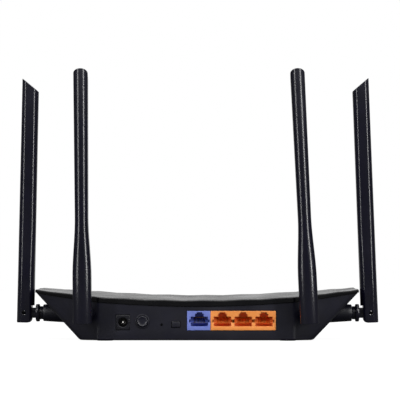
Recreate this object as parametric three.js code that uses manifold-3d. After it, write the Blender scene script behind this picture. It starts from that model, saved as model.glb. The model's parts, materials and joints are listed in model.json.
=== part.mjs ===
// Wireless router with four hinged antennas, as a three.js scene graph.
// Millimetres, +Z up.  The socket panel faces -Y, +X is to the right of someone looking at that panel.
// The origin is on the surface that the feet stand on, under the middle of the whole object's box.

import * as THREE from 'three';
import { mergeVertices } from 'three/addons/utils/BufferGeometryUtils.js';
import { ConvexGeometry } from 'three/addons/geometries/ConvexGeometry.js';
import Module from 'manifold-3d';

const wasm = await Module();
wasm.setup();

// ---------------------------------------------------------------- driving dimensions, mm and degrees

const gap = 0.3; // between any two pieces that touch or slide
const roundSides = 18; // flats on a round piece
const smallSides = 12; // and on a small one

// casing, seen from above: an eight-sided outline, widest across the side antennas
const caseWidth = 230;
const caseDepth = 144;
const baseWidth = 162; // flat underside, narrower than the rim because the side walls lean out
const panelWidth = 137; // flat rear panel that carries the sockets
const facetRun = 34; // how far the rear corner facets run forward
const frontCorner = { x: 76, y: 30 }; // where the front corners start
const tipRadius = 7;
const panelRadius = 1.4;

// casing, heights
const footHeight = 0.5; // how far the feet stand out below the underside
const wall = 2;
const floorWall = 2;
const baseChamfer = 1.2;
const roofMiddleRear = 28.1;
const roofMiddleFront = 31.2;
const roofDipRear = 6.9; // how much lower the middle of the roof is than its tips
const roofDipFront = 6.6;
const rimMiddle = 4; // height of the cover's edge band in the middle, and at the tips
const rimTip = 2.1;
const rimOverhang = 0.8; // the cover's edge stands proud of the lower case
const reliefWidth = 26.9; // one diamond of the roof pattern
const reliefLength = 48;
const reliefHeight = 0.4;
const reliefPhase = -8.7;
const clear = 10; // how far a cutting block runs past what it cuts
const wellBelow = 20;
const wellAbove = 70;

// antenna hinges
const hingeHeight = 19;
const rearHingeOut = 9.3; // rear hinges are this far outside the flat panel
const rearBossProud = 3; // the rear bosses end this far behind the panel
const sideHingeY = -18;
const sideBossShort = 4.4; // the side bosses end this far inside the widest part of the rim
const bossRadius = 6;
const bossFlare = 1.3; // how much wider a boss is at its root
const bossInside = 1; // how far a boss stands inside the wall
const shaftRadius = 3.5;
const shaftBore = 1.5;
const snapRadius = 4.6;
const snapLength = 1.6;
const neckRadius = 4.7;
const neckLength = 2.2;
const collarRadius = 6.3;
const collarLength = 2.8;
const collarChamfer = 0.7;
const pinFromCollar = 8.4;
const pinRadius = 1.2;
const pinSink = 0.6;
const tongueHeight = 7.4;
const tongueWidth = 5;
const swivelLean = { rear_left: -0.5, rear_right: -2.7, side_left: 0, side_right: 0 };
const foldLean = { rear_left: 0, rear_right: 0, side_left: -1.05, side_right: -2.05 };

// antennas: "deep" is measured away from the case, "wide" along the hinge pin
const antennaLength = 176;
const antennaBelowPin = 7;
const antennaOffset = 1; // the middle of the antenna is this much nearer the case than the pin
const antennaDeepFoot = 12.6;
const antennaDeepTop = 12;
const antennaWideFoot = 12.8;
const antennaWideWaist = 9.1;
const antennaWideTop = 10;
const antennaFootEnd = 32; // the full-width foot ends here, above the antenna's bottom
const antennaWaistAt = 73;
const antennaCrown = 3.9; // how far the rounded front and back bulge
const antennaTopSlant = 38.5;
const hingeStep = 1.8; // the antenna is cut back by this where it faces the hinge
const hingeStepAbovePin = 5.4;
const antennaInnerRound = 3.2;
const antennaOuterRound = 0.6;
const antennaBore = 3; // radius of the hollow for the radiator
const antennaBoreShort = 12; // the hollow stops this far below the top
const radiatorRadius = 2.2;
const radiatorLength = 118;
const radiatorWire = 0.8;

// board
const boardThick = 1.6;
const boardTop = 7.2;
const boardWidth = 128;
const boardFrontShort = 18; // the board and its light tab stop this far behind the front of the base
const ledTabWidth = 58;
const ledTabFrontShort = 2;
const standoffRadius = 3;
const boardScrewInset = 6; // board screws, from the board's side edges, front edge and rear edge
const boardScrewFront = 8;
const boardScrewRear = 10.7;
const leadRadius = 0.7; // coaxial leads, and where they are soldered to the board
const leadEndRear = 26.7; // forward of the board's rear edge
const leadEndSide = 4; // behind the side hinges
const leadEndInset = 4;
const leadDrop = 6;

// sockets, all measured on the rear panel
const socketHeight = 13.4;
const socketDepth = 15.5;
const wanLeft = -6.2;
const wanWidth = 16.1;
const lanWidth = 45.2;
const lanPitch = 14.4;
const portWidth = 12;
const portHeight = 6.7;
const portDepth = 12;
const portSill = 2.7; // bottom of the opening above the bottom of the socket
const latchWidth = 6;
const latchHeight = 2;
const latchTopWidth = 4;
const latchTopHeight = 0.9;
const contactCount = 8;
const contactPitch = 1.02;
const contactWidth = 0.45;
const contactThick = 0.4;

// power inlet
const inletX = -50.8;
const inletWidth = 9.4;
const inletHeight = 10.3;
const inletAboveBoard = 0.6;
const inletDepth = 12;
const inletBore = 3.2;
const inletBoreDepth = 9.5;
const inletPinRadius = 1.05;

// buttons
const powerX = -37.2;
const powerAboveBoard = 6.4;
const powerRadius = 3.9;
const powerProud = 1.6;
const powerRingRadius = 4.95;
const powerRingProud = 0.7;
const powerTravel = 1.6;
const powerFlange = 0.9;
const wpsX = -14;
const wpsAboveBoard = 4.3;
const wpsWidth = 5.8;
const wpsHeight = 4.1;
const wpsProud = 0.4;
const resetX = -23.9;
const resetAboveBoard = 4.1;
const resetHole = 0.9;
const smallTravel = 0.5;
const stemRadius = 1.4;

// underside
const footRadius = 6;
const footSink = 0.8;
const footInsetRear = 17; // feet, from the side edges of the base and from its rear and front edges
const footInsetFront = 25;
const footFromRear = 15.2;
const footFromFront = 18;
const caseScrewX = 40;
const caseScrewFromFront = 12;
const screwRadius = 1.5;
const screwHeadRadius = 2.7;
const screwHeadHeight = 1.6;
const caseBossRadius = 4.4;
const caseBossTop = 11;
const screwSeat = 5;
const ventCount = 12;
const ventPitch = 6.6;
const ventWidth = 2.2;
const ventLength = 20;
const ventRows = [19.2, 44.2]; // where each row starts, from the rear of the case
const labelWidth = 58;
const labelDepth = 26;
const labelThick = 0.3;
const keyholeX = 52;
const keyholeFromFront = 42;
const keyholeHead = 4;
const keyholeSlot = 2.1;
const keyholeRun = 8;

// indicator lights
const ledCount = 4;
const ledPitch = 9;
const ledFromFront = 6;
const ledSize = 2;
const ledHeight = 0.9;
const windowWidth = 5;
const windowDepth = 1.3;

// ---------------------------------------------------------------- finishes

const finishes = {
  case: { color: 0x1d1c25, roughness: 0.45, metalness: 0 },
  cover: { color: 0x101014, roughness: 0.25, metalness: 0 },
  antenna: { color: 0x1c1b22, roughness: 0.5, metalness: 0 },
  steel: { color: 0xb9bcc0, roughness: 0.3, metalness: 1 },
  gold: { color: 0xd6a548, roughness: 0.25, metalness: 1 },
  blue: { color: 0x4f66cf, roughness: 0.4, metalness: 0 },
  orange: { color: 0xe8752a, roughness: 0.4, metalness: 0 },
  board: { color: 0x1f5a38, roughness: 0.55, metalness: 0 },
  component: { color: 0x202124, roughness: 0.6, metalness: 0 },
  rubber: { color: 0x2a2a2c, roughness: 0.9, metalness: 0 },
  paper: { color: 0xdedfe0, roughness: 0.6, metalness: 0 },
  clear: { color: 0xe6ecef, roughness: 0.15, metalness: 0 },
  brass: { color: 0xb28a4a, roughness: 0.35, metalness: 1 },
  lead: { color: 0x303236, roughness: 0.6, metalness: 0 },
};

const materials = {};
for (const [name, finish] of Object.entries(finishes)) {
  materials[name] = new THREE.MeshStandardMaterial(finish);
}

// ---------------------------------------------------------------- solids from three.js shapes

const radians = THREE.MathUtils.degToRad;
const point = (x, y, z) => new THREE.Vector3(x, y, z);

function solid(geometry) {
  const bare = new THREE.BufferGeometry();
  bare.setAttribute('position', geometry.getAttribute('position'));
  if (geometry.index) bare.setIndex(geometry.index);
  const merged = mergeVertices(bare, 1e-4);
  return new wasm.Manifold(new wasm.Mesh({
    numProp: 3,
    vertProperties: new Float32Array(merged.getAttribute('position').array),
    triVerts: new Uint32Array(merged.index.array),
  }));
}

function geometryOf(body) {
  const mesh = body.getMesh();
  const geometry = new THREE.BufferGeometry();
  geometry.setAttribute('position', new THREE.BufferAttribute(new Float32Array(mesh.vertProperties), 3));
  geometry.setIndex(new THREE.BufferAttribute(new Uint32Array(mesh.triVerts), 1));
  geometry.computeVertexNormals();
  return geometry;
}

const join = (first, ...others) => others.reduce((sum, next) => sum.add(next), first);
const cut = (body, ...tools) => tools.reduce((rest, tool) => rest.subtract(tool), body);

function block([x0, x1], [y0, y1], [z0, z1]) {
  const geometry = new THREE.BoxGeometry(x1 - x0, y1 - y0, z1 - z0);
  geometry.translate((x0 + x1) / 2, (y0 + y1) / 2, (z0 + z1) / 2);
  return solid(geometry);
}

// A round bar between two points; its radius may change from one end to the other.
function rod(from, to, radius, endRadius = radius, sides = roundSides) {
  const along = to.clone().sub(from);
  const geometry = new THREE.CylinderGeometry(endRadius, radius, along.length(), sides);
  geometry.translate(0, along.length() / 2, 0);
  geometry.applyQuaternion(new THREE.Quaternion().setFromUnitVectors(point(0, 1, 0), along.normalize()));
  geometry.translate(from.x, from.y, from.z);
  return solid(geometry);
}

// Small round bars or holes: one upright, one that runs straight into the rear panel.
function drill([x, y], low, high, radius) {
  return rod(point(x, y, low), point(x, y, high), radius, radius, smallSides);
}

function pushRod(x, z, from, to, radius) {
  return rod(point(x, from, z), point(x, to, z), radius, radius, smallSides);
}

// A turned piece: pairs of radius and distance, starting and ending on the axis that leaves `from`.
function turned(profile, from, direction, sides = roundSides) {
  const geometry = new THREE.LatheGeometry(profile.map(([r, d]) => new THREE.Vector2(r, d)), sides);
  geometry.applyQuaternion(new THREE.Quaternion().setFromUnitVectors(point(0, 1, 0), direction));
  geometry.translate(from.x, from.y, from.z);
  return solid(geometry);
}

// An outline in the X-Z plane, given thickness along Y from y0 to y1.
function plate(shape, y0, y1, curveSegments = 5) {
  const geometry = new THREE.ExtrudeGeometry(shape, { depth: y1 - y0, bevelEnabled: false, curveSegments });
  geometry.rotateX(Math.PI / 2);
  geometry.translate(0, y1, 0);
  return solid(geometry);
}

// An outline in the X-Y plane, given height from z0 to z1.
function slab(shape, z0, z1, curveSegments = 6) {
  const geometry = new THREE.ExtrudeGeometry(shape, { depth: z1 - z0, bevelEnabled: false, curveSegments });
  geometry.translate(0, 0, z0);
  return solid(geometry);
}

// A round wire along a smooth route; its section has six sides.
function wire(points, radius, steps) {
  const section = new THREE.Shape();
  section.absarc(0, 0, radius, 0, Math.PI * 2);
  const path = new THREE.CatmullRomCurve3(points, false, 'centripetal');
  return solid(new THREE.ExtrudeGeometry(section, { steps, curveSegments: 3, extrudePath: path }));
}

// ---------------------------------------------------------------- casing outline and roof

const panelBack = caseDepth / 2;
const rimTipTop = roofMiddleRear + roofDipRear;
const leanRise = rimTipTop - rimTip - footHeight;
const sideLean = (caseWidth / 2 - rimOverhang - baseWidth / 2) / leanRise;

// The flat underside reaches from the rear panel forward to here.
const baseFront = panelBack - rimOverhang - leanRise * sideLean;

function sideThrough(x, y, normal, leans) {
  return { normal, reach: x * normal.x + y * normal.y, leans };
}

const facetNormal = new THREE.Vector2(facetRun, panelWidth / 2 - caseWidth / 2).normalize();
const cornerRun = { x: caseWidth / 2 - frontCorner.x, y: panelBack - frontCorner.y };
const cornerNormal = new THREE.Vector2(cornerRun.y, cornerRun.x).normalize();
const rightSides = [
  { ...sideThrough(panelWidth / 2, -panelBack, facetNormal, false), radius: panelRadius },
  { ...sideThrough(caseWidth / 2, 0, new THREE.Vector2(1, 0), true), radius: tipRadius },
  { ...sideThrough(caseWidth / 2, frontCorner.y, cornerNormal, true), radius: tipRadius },
];
const frontSide = { ...sideThrough(0, panelBack, new THREE.Vector2(0, 1), true), radius: tipRadius };
const rearSide = { ...sideThrough(0, -panelBack, new THREE.Vector2(0, -1), false), radius: panelRadius };
const mirrored = (side) => ({ ...side, normal: new THREE.Vector2(-side.normal.x, side.normal.y) });
const leftSides = rightSides.map(mirrored).reverse();
const planSides = [rearSide, ...rightSides, frontSide, ...leftSides];

// Corner points of the casing's outline at a height, each side moved in by `inset` across the wall.
function planCorners(z, inset) {
  const reaches = planSides.map((side) => {
    if (!side.leans) return side.reach - inset;
    return side.reach - inset * Math.hypot(1, sideLean) - (leanRise + footHeight - z) * sideLean;
  });
  return planSides.map((side, i) => {
    const j = (i + 1) % planSides.length;
    const next = planSides[j].normal;
    const cross = side.normal.x * next.y - side.normal.y * next.x;
    return new THREE.Vector2(
      (reaches[i] * next.y - reaches[j] * side.normal.y) / cross,
      (side.normal.x * reaches[j] - next.x * reaches[i]) / cross,
    );
  });
}

// Outline with each corner rounded by its own radius.
function roundedOutline(corners, radii) {
  const shape = new THREE.Shape();
  corners.forEach((corner, i) => {
    const before = corners[(i + corners.length - 1) % corners.length];
    const after = corners[(i + 1) % corners.length];
    const back = before.clone().sub(corner).normalize();
    const on = after.clone().sub(corner).normalize();
    const cutBack = radii[i] / Math.tan(back.angleTo(on) / 2);
    const start = corner.clone().addScaledVector(back, cutBack);
    const end = corner.clone().addScaledVector(on, cutBack);
    if (i === 0) shape.moveTo(start.x, start.y);
    else shape.lineTo(start.x, start.y);
    shape.quadraticCurveTo(corner.x, corner.y, end.x, end.y);
  });
  shape.closePath();
  return shape;
}

const cornerRadii = planSides.map((side, i) => {
  const next = planSides[(i + 1) % planSides.length];
  return Math.min(side.radius, next.radius);
});

function planOutline(z, inset) {
  return roundedOutline(planCorners(z, inset), cornerRadii);
}

// The lower case's outer or inner form: leaning walls between two heights, with a chamfered bottom edge.
function tub(inset, low, high, chamfer) {
  const levels = [[low, inset + chamfer], [low + chamfer, inset], [high, inset]];
  const points = levels.flatMap(([z, moved]) => (
    planOutline(z, moved).getPoints(3).map((at) => point(at.x, at.y, z))
  ));
  return solid(new ConvexGeometry(points));
}

const rimTopLevel = leanRise + footHeight;
const share = (y) => (y + panelBack) / caseDepth;

function roofHeight(x, y) {
  const middle = THREE.MathUtils.lerp(roofMiddleRear, roofMiddleFront, share(y));
  const dip = THREE.MathUtils.lerp(roofDipRear, roofDipFront, share(y));
  return middle + dip * (x / (caseWidth / 2)) ** 2;
}

function rimHeight(x) {
  return THREE.MathUtils.lerp(rimMiddle, rimTip, (x / (caseWidth / 2)) ** 2);
}

// A block whose top follows `heightAt`, on a grid of cells centred on `middleX`.
function blockUnder(heightAt, [across, along], [cellX, cellY], middleX) {
  const geometry = new THREE.BoxGeometry(across * cellX, along * cellY, 1, across, along, 1);
  const position = geometry.getAttribute('position');
  for (let i = 0; i < position.count; i += 1) {
    const x = middleX + position.getX(i);
    const y = position.getY(i);
    position.setXYZ(i, x, y, position.getZ(i) > 0 ? heightAt(x, y) : -wellBelow);
  }
  return geometry;
}

// Everything below the plain roof surface, lowered by `drop`.
function underRoof(drop) {
  const cells = [16, 1];
  const size = [(caseWidth + 2 * clear) / cells[0], caseDepth + 2 * clear];
  return solid(blockUnder((x, y) => roofHeight(x, y) - drop(x), cells, size, 0));
}

// Everything below the patterned roof.  Every other crossing of the grid is raised, and each cell is
// split between its two low crossings, so that the surface is made of flat-faced diamonds.
function underPatternedRoof() {
  const cell = [reliefWidth / 2, reliefLength / 2];
  const half = [Math.ceil((caseWidth / 2 + clear) / cell[0]), Math.ceil((caseDepth / 2 + clear) / cell[1])];
  const column = (x) => Math.round((x - reliefPhase) / cell[0]);
  const raised = (x, y) => (column(x) + Math.round(y / cell[1])) % 2 === 0;
  const height = (x, y) => roofHeight(x, y) + (raised(x, y) ? reliefHeight : 0);
  const geometry = blockUnder(height, [2 * half[0], 2 * half[1]], cell, reliefPhase);
  const position = geometry.getAttribute('position');
  const topFace = geometry.groups[4];
  for (let at = topFace.start; at < topFace.start + topFace.count; at += 6) {
    const [a, b, d, , c] = geometry.index.array.slice(at, at + 6);
    if (!raised(position.getX(a), position.getY(a))) geometry.index.array.set([a, b, c, a, c, d], at);
  }
  return solid(geometry);
}

// ---------------------------------------------------------------- hinge places

// Each boss runs from its end face to just inside the wall, where the wall is furthest in.
const rearHingeX = panelWidth / 2 + rearHingeOut;
const facetSlope = facetRun / (caseWidth / 2 - panelWidth / 2);
const facetInside = -panelBack + rimOverhang + wall + (rearHingeOut + bossRadius) * facetSlope;
const sideWallOutside = baseWidth / 2 + (hingeHeight - bossRadius - footHeight) * sideLean;
const sideWallInside = sideWallOutside - wall * Math.hypot(1, sideLean);
const rearBossEnd = panelBack + rearBossProud;
const sideBossEnd = caseWidth / 2 - sideBossShort;
const rearBossLength = rearBossEnd + facetInside + bossInside;
const sideBossLength = sideBossEnd - sideWallInside + bossInside;
const rearHinge = { y: -rearBossEnd, bossLength: rearBossLength };
const sideHinge = { y: sideHingeY, bossLength: sideBossLength };
const hinges = [
  { name: 'rear_left', x: -rearHingeX, yaw: -90, ...rearHinge },
  { name: 'rear_right', x: rearHingeX, yaw: -90, ...rearHinge },
  { name: 'side_left', x: -sideBossEnd, yaw: 180, ...sideHinge },
  { name: 'side_right', x: sideBossEnd, yaw: 0, ...sideHinge },
];
for (const hinge of hinges) {
  const turn = radians(hinge.yaw);
  hinge.bossEnd = point(hinge.x, hinge.y, hingeHeight);
  hinge.outward = point(Math.cos(turn), Math.sin(turn), 0);
}
const alongHinge = (hinge, distance) => hinge.bossEnd.clone().addScaledVector(hinge.outward, distance);

// ---------------------------------------------------------------- lower case

const panelFace = -panelBack + rimOverhang;
const panelInside = panelFace + wall;
const floorTop = footHeight + floorWall;
const boardBottom = boardTop - boardThick;
const boardBack = panelInside + 0.5;
const boardFront = baseFront - boardFrontShort;
const ledTabFront = baseFront - ledTabFrontShort;
const ledY = baseFront - ledFromFront;
const keyholeY = baseFront - keyholeFromFront;
const boardScrewX = boardWidth / 2 - boardScrewInset;
const boardScrewPlaces = [
  [-boardScrewX, boardFront - boardScrewFront],
  [boardScrewX, boardFront - boardScrewFront],
  [-boardScrewX, boardBack + boardScrewRear],
];
const caseScrewPlaces = [-1, 1].map((side) => [side * caseScrewX, baseFront - caseScrewFromFront]);
const footPlaces = [
  [footInsetRear - baseWidth / 2, panelFace + footFromRear],
  [baseWidth / 2 - footInsetRear, panelFace + footFromRear],
  [footInsetFront - baseWidth / 2, baseFront - footFromFront],
  [baseWidth / 2 - footInsetFront, baseFront - footFromFront],
];
const throughPanel = [panelFace - 3, panelInside + 1];
const lanLeft = wanLeft + wanWidth + 0.2;
const socketBottom = boardTop + gap;
const inletBottom = boardTop + inletAboveBoard;
const inletCentreZ = inletBottom + inletHeight / 2;
const powerZ = boardTop + powerAboveBoard;
const wpsZ = boardTop + wpsAboveBoard;
const resetZ = boardTop + resetAboveBoard;

function keyhole(side) {
  const x = side * keyholeX;
  const low = footHeight - 1;
  const high = floorTop + 1;
  return join(
    rod(point(x, keyholeY, low), point(x, keyholeY, high), keyholeHead),
    rod(point(x, keyholeY + keyholeRun, low), point(x, keyholeY + keyholeRun, high), keyholeSlot),
    block([x - keyholeSlot, x + keyholeSlot], [keyholeY, keyholeY + keyholeRun], [low, high]),
  );
}

function ventSlots() {
  const slots = [];
  for (const fromRear of ventRows) {
    const y = panelFace + fromRear;
    for (let i = 0; i < ventCount; i += 1) {
      const x = (i - (ventCount - 1) / 2) * ventPitch;
      slots.push(block([x - ventWidth / 2, x + ventWidth / 2], [y, y + ventLength], [0, floorTop + 1]));
    }
  }
  return slots;
}

function lowerCase() {
  const outer = tub(rimOverhang, footHeight, rimTopLevel + 8, baseChamfer);
  const inner = tub(rimOverhang + wall, floorTop, rimTopLevel + 9, 0);
  let body = cut(outer, inner);

  for (const [x, y] of boardScrewPlaces) {
    body = join(body, rod(point(x, y, floorTop - 1), point(x, y, boardBottom - gap), standoffRadius));
  }
  for (const [x, y] of caseScrewPlaces) {
    body = join(body, rod(point(x, y, floorTop - 1), point(x, y, caseBossTop), caseBossRadius));
  }
  for (const hinge of hinges) {
    const root = alongHinge(hinge, -hinge.bossLength);
    body = join(body, rod(root, hinge.bossEnd, bossRadius + bossFlare, bossRadius));
  }
  const ringFoot = point(powerX, panelFace + 0.5, powerZ);
  const ringFace = point(powerX, panelFace - powerRingProud, powerZ);
  body = join(body, rod(ringFoot, ringFace, powerRingRadius, powerRingRadius - 0.3));

  // nothing of the lower case stands above the parting line
  body = body.intersect(underRoof((x) => rimHeight(x) + gap));

  for (const hinge of hinges) {
    const bore = rod(alongHinge(hinge, -hinge.bossLength - 1), alongHinge(hinge, 1), shaftRadius + gap);
    body = cut(body, bore);
  }
  body = cut(
    body,
    block([wanLeft - gap, lanLeft + lanWidth + gap], throughPanel,
      [socketBottom - gap, socketBottom + socketHeight + gap]),
    block([inletX - inletWidth / 2 - gap, inletX + inletWidth / 2 + gap], throughPanel,
      [inletBottom - gap, inletBottom + inletHeight + gap]),
    block([wpsX - wpsWidth / 2 - gap, wpsX + wpsWidth / 2 + gap], throughPanel,
      [wpsZ - wpsHeight / 2 - gap, wpsZ + wpsHeight / 2 + gap]),
    rod(point(powerX, throughPanel[0], powerZ), point(powerX, throughPanel[1], powerZ), powerRadius + gap),
    pushRod(resetX, resetZ, ...throughPanel, resetHole),
    keyhole(-1),
    keyhole(1),
    ...ventSlots(),
  );
  for (const [x, y] of footPlaces) {
    body = cut(body, rod(point(x, y, 0), point(x, y, footHeight + footSink), footRadius + gap));
  }
  for (const [x, y] of caseScrewPlaces) {
    body = cut(body, rod(point(x, y, 0), point(x, y, screwSeat), screwHeadRadius + gap));
    body = cut(body, drill([x, y], 0, caseBossTop + 1, screwRadius + gap));
  }
  for (const [x, y] of boardScrewPlaces) {
    body = cut(body, drill([x, y], floorTop - 1, boardTop, screwRadius + gap));
  }
  const labelY = (caseScrewPlaces[0][1] - caseBossRadius) - 2 - labelDepth;
  return cut(body, block([-labelWidth / 2 - gap, labelWidth / 2 + gap],
    [labelY - gap, labelY + labelDepth + gap], [0, footHeight + labelThick + gap]));
}

// ---------------------------------------------------------------- top cover

const ledPlaces = Array.from({ length: ledCount }, (_, i) => (i - (ledCount - 1) / 2) * ledPitch);

function topCover() {
  const outline = slab(planOutline(rimTopLevel, 0), caseBossTop, wellAbove);
  const inside = slab(planOutline(rimTopLevel, wall), 0, wellAbove + 1).intersect(underRoof(() => wall));
  let body = cut(outline.intersect(underPatternedRoof()), inside, underRoof(rimHeight));
  for (const [x, y] of caseScrewPlaces) {
    const top = roofHeight(x, y) - wall / 2;
    body = join(body, rod(point(x, y, caseBossTop + gap), point(x, y, top), caseBossRadius - 0.6));
    body = cut(body, rod(point(x, y, caseBossTop - 1), point(x, y, screwSeat + 16 + gap), screwRadius + gap,
      screwRadius + gap, smallSides));
  }
  for (const x of ledPlaces) {
    body = cut(body, block(
      [x - windowWidth / 2 - gap, x + windowWidth / 2 + gap],
      [ledY - windowDepth / 2 - gap, ledY + windowDepth / 2 + gap],
      [20, 60],
    ));
  }
  return body;
}

// ---------------------------------------------------------------- board and what stands on it

function mainBoard() {
  const half = boardWidth / 2;
  const tab = ledTabWidth / 2;
  const shape = new THREE.Shape();
  shape.moveTo(-half, boardBack);
  shape.lineTo(half, boardBack);
  shape.lineTo(half, boardFront);
  shape.lineTo(tab, boardFront);
  shape.lineTo(tab, ledTabFront);
  shape.lineTo(-tab, ledTabFront);
  shape.lineTo(-tab, boardFront);
  shape.lineTo(-half, boardFront);
  shape.closePath();
  let body = slab(shape, boardBottom, boardTop);
  for (const [x, y] of boardScrewPlaces) {
    body = cut(body, drill([x, y], boardBottom - 1, boardTop + 1, screwRadius + gap));
  }
  return body;
}

// A network socket with its latch notch upwards and one opening at each place in `centres`.
function networkJack(left, width, centres) {
  const low = socketBottom;
  let body = block([left, left + width], [panelFace, panelFace + socketDepth], [low, low + socketHeight]);
  const sill = low + portSill;
  const top = sill + portHeight;
  for (const x of centres) {
    const depth = [panelFace - 1, panelFace + portDepth];
    body = cut(
      body,
      block([x - portWidth / 2, x + portWidth / 2], depth, [sill, top]),
      block([x - latchWidth / 2, x + latchWidth / 2], depth, [top - 0.1, top + latchHeight]),
      block([x - latchTopWidth / 2, x + latchTopWidth / 2], depth,
        [top + latchHeight - 0.1, top + latchHeight + latchTopHeight]),
    );
  }
  return body;
}

// Eight springy contacts that rise from the floor of a socket opening to the bar that holds them.
function contactComb(x) {
  const floor = socketBottom + portSill + gap;
  const back = panelFace + portDepth - gap;
  const rise = portHeight - 2 * gap;
  const side = new THREE.Shape();
  side.moveTo(back - 8, floor);
  side.lineTo(back - 7, floor);
  side.lineTo(back, floor + rise - 1.6);
  side.lineTo(back, floor + rise - 0.8);
  side.lineTo(back - contactThick, floor + rise - 0.8);
  side.lineTo(back - 8, floor + contactThick);
  side.closePath();
  const across = (contactCount - 1) * contactPitch + contactWidth;
  const start = x - across / 2;
  let body = block([start, start + across], [back - 0.5, back], [floor + rise - 1.4, floor + rise]);
  for (let i = 0; i < contactCount; i += 1) {
    const geometry = new THREE.ExtrudeGeometry(side, { depth: contactWidth, bevelEnabled: false });
    geometry.rotateY(Math.PI / 2);
    geometry.rotateX(Math.PI / 2);
    geometry.translate(start + i * contactPitch, 0, 0);
    body = join(body, solid(geometry));
  }
  return body;
}

function powerInlet() {
  const back = panelFace + inletDepth;
  const at = (y) => point(inletX, y, inletCentreZ);
  return cut(
    block([inletX - inletWidth / 2, inletX + inletWidth / 2], [panelFace, back],
      [inletBottom, inletBottom + inletHeight]),
    rod(at(panelFace - 1), at(panelFace + inletBoreDepth), inletBore),
    rod(at(panelFace), at(back + 1), inletPinRadius + gap, inletPinRadius + gap, smallSides),
  );
}

function inletPin() {
  const front = 1;
  const back = inletDepth + gap;
  const profile = [
    [0, front], [inletPinRadius * 0.6, front], [inletPinRadius, front + 0.6], [inletPinRadius, back],
    [inletPinRadius * 2.2, back], [inletPinRadius * 2.2, back + 0.8], [0, back + 0.8],
  ];
  return turned(profile, point(inletX, panelFace, inletCentreZ), point(0, 1, 0), smallSides);
}

// ---------------------------------------------------------------- buttons and their switches

const powerStemLength = 12;
const switchFace = panelInside + powerFlange + powerTravel + 2 * gap + 2;
const tactFlange = 1;
const tactRoom = 1.1;
const tactFace = panelInside + tactFlange + smallTravel + 2 * gap + tactRoom;

function powerButton() {
  const face = panelFace - powerProud;
  const flangeAt = panelInside + gap - face;
  const profile = [
    [0, 0], [powerRadius - 1.4, 0.05], [powerRadius - 0.5, 0.35], [powerRadius, 0.95],
    [powerRadius, flangeAt],
    [powerRadius + 1, flangeAt], [powerRadius + 1, flangeAt + powerFlange],
    [stemRadius, flangeAt + powerFlange], [stemRadius, flangeAt + powerStemLength],
    [0, flangeAt + powerStemLength],
  ];
  return turned(profile, point(powerX, face, powerZ), point(0, 1, 0));
}

// A switch body on the board with a bore that the button's stem slides in.
function switchBody(x, z, width, face, depth, bore) {
  return cut(
    block([x - width / 2, x + width / 2], [face, face + depth], [boardTop + gap, z + width / 2]),
    pushRod(x, z, face - 1, face + bore, stemRadius + gap),
  );
}

const tactStem = tactFace - panelInside + 2;

function wpsButton() {
  const outer = [wpsX - wpsWidth / 2, wpsX + wpsWidth / 2];
  const high = [wpsZ - wpsHeight / 2, wpsZ + wpsHeight / 2];
  return join(
    block(outer, [panelFace - wpsProud, panelInside + gap + 0.8], high),
    block([outer[0] - 0.9, outer[1] + 0.9], [panelInside + gap, panelInside + gap + tactFlange], high),
    pushRod(wpsX, wpsZ, panelInside + 1, panelInside + tactStem, stemRadius),
  );
}

function resetPlunger() {
  const face = panelInside + gap;
  return join(
    pushRod(resetX, resetZ, face, face + 0.8, stemRadius + 0.5),
    pushRod(resetX, resetZ, face, panelInside + tactStem, stemRadius),
  );
}

// ---------------------------------------------------------------- lights

function lightPipe() {
  const low = boardTop + gap + ledHeight + gap;
  const barLow = roofHeight(0, ledY) - wall - 3;
  const half = (ledCount - 1) * ledPitch / 2 + windowWidth / 2;
  let body = block([-half, half], [ledY - 1.6, ledY + 1.6], [barLow, barLow + 1.4]);
  for (const x of ledPlaces) {
    const top = roofHeight(x, ledY);
    body = join(
      body,
      block([x - windowWidth / 2, x + windowWidth / 2], [ledY - windowDepth / 2, ledY + windowDepth / 2],
        [barLow + 0.5, top]),
      block([x - 1, x + 1], [ledY - 1, ledY + 1], [low, barLow + 0.5]),
    );
  }
  return body;
}

function ledChip(x) {
  return block([x - ledSize / 2, x + ledSize / 2], [ledY - ledSize / 2, ledY + ledSize / 2],
    [boardTop + gap, boardTop + gap + ledHeight]);
}

// ---------------------------------------------------------------- chips, cans and coils

// Places are across the board and forward from its rear edge.
const onBoard = boardTop + gap;

function heatsink([x, forward], size, finCount, height) {
  const base = 2;
  const y = boardBack + forward;
  let body = block([x - size / 2, x + size / 2], [y - size / 2, y + size / 2], [onBoard, onBoard + base]);
  const pitch = size / finCount;
  for (let i = 0; i < finCount; i += 1) {
    const left = x - size / 2 + i * pitch;
    body = join(body, block([left, left + pitch * 0.4], [y - size / 2, y + size / 2],
      [onBoard + base - 0.5, onBoard + height]));
  }
  return body;
}

function boxOnBoard([x, forward], [width, depth, height]) {
  const y = boardBack + forward;
  return block([x - width / 2, x + width / 2], [y - depth / 2, y + depth / 2], [onBoard, onBoard + height]);
}

function capacitor([x, forward], radius, height) {
  const profile = [
    [0, 0], [radius, 0], [radius, 1.2], [radius * 0.92, 1.6], [radius, 2], [radius, height - 0.5],
    [radius - 0.5, height], [0, height],
  ];
  return turned(profile, point(x, boardBack + forward, onBoard), point(0, 0, 1), smallSides);
}

// ---------------------------------------------------------------- fasteners and feet

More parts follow.
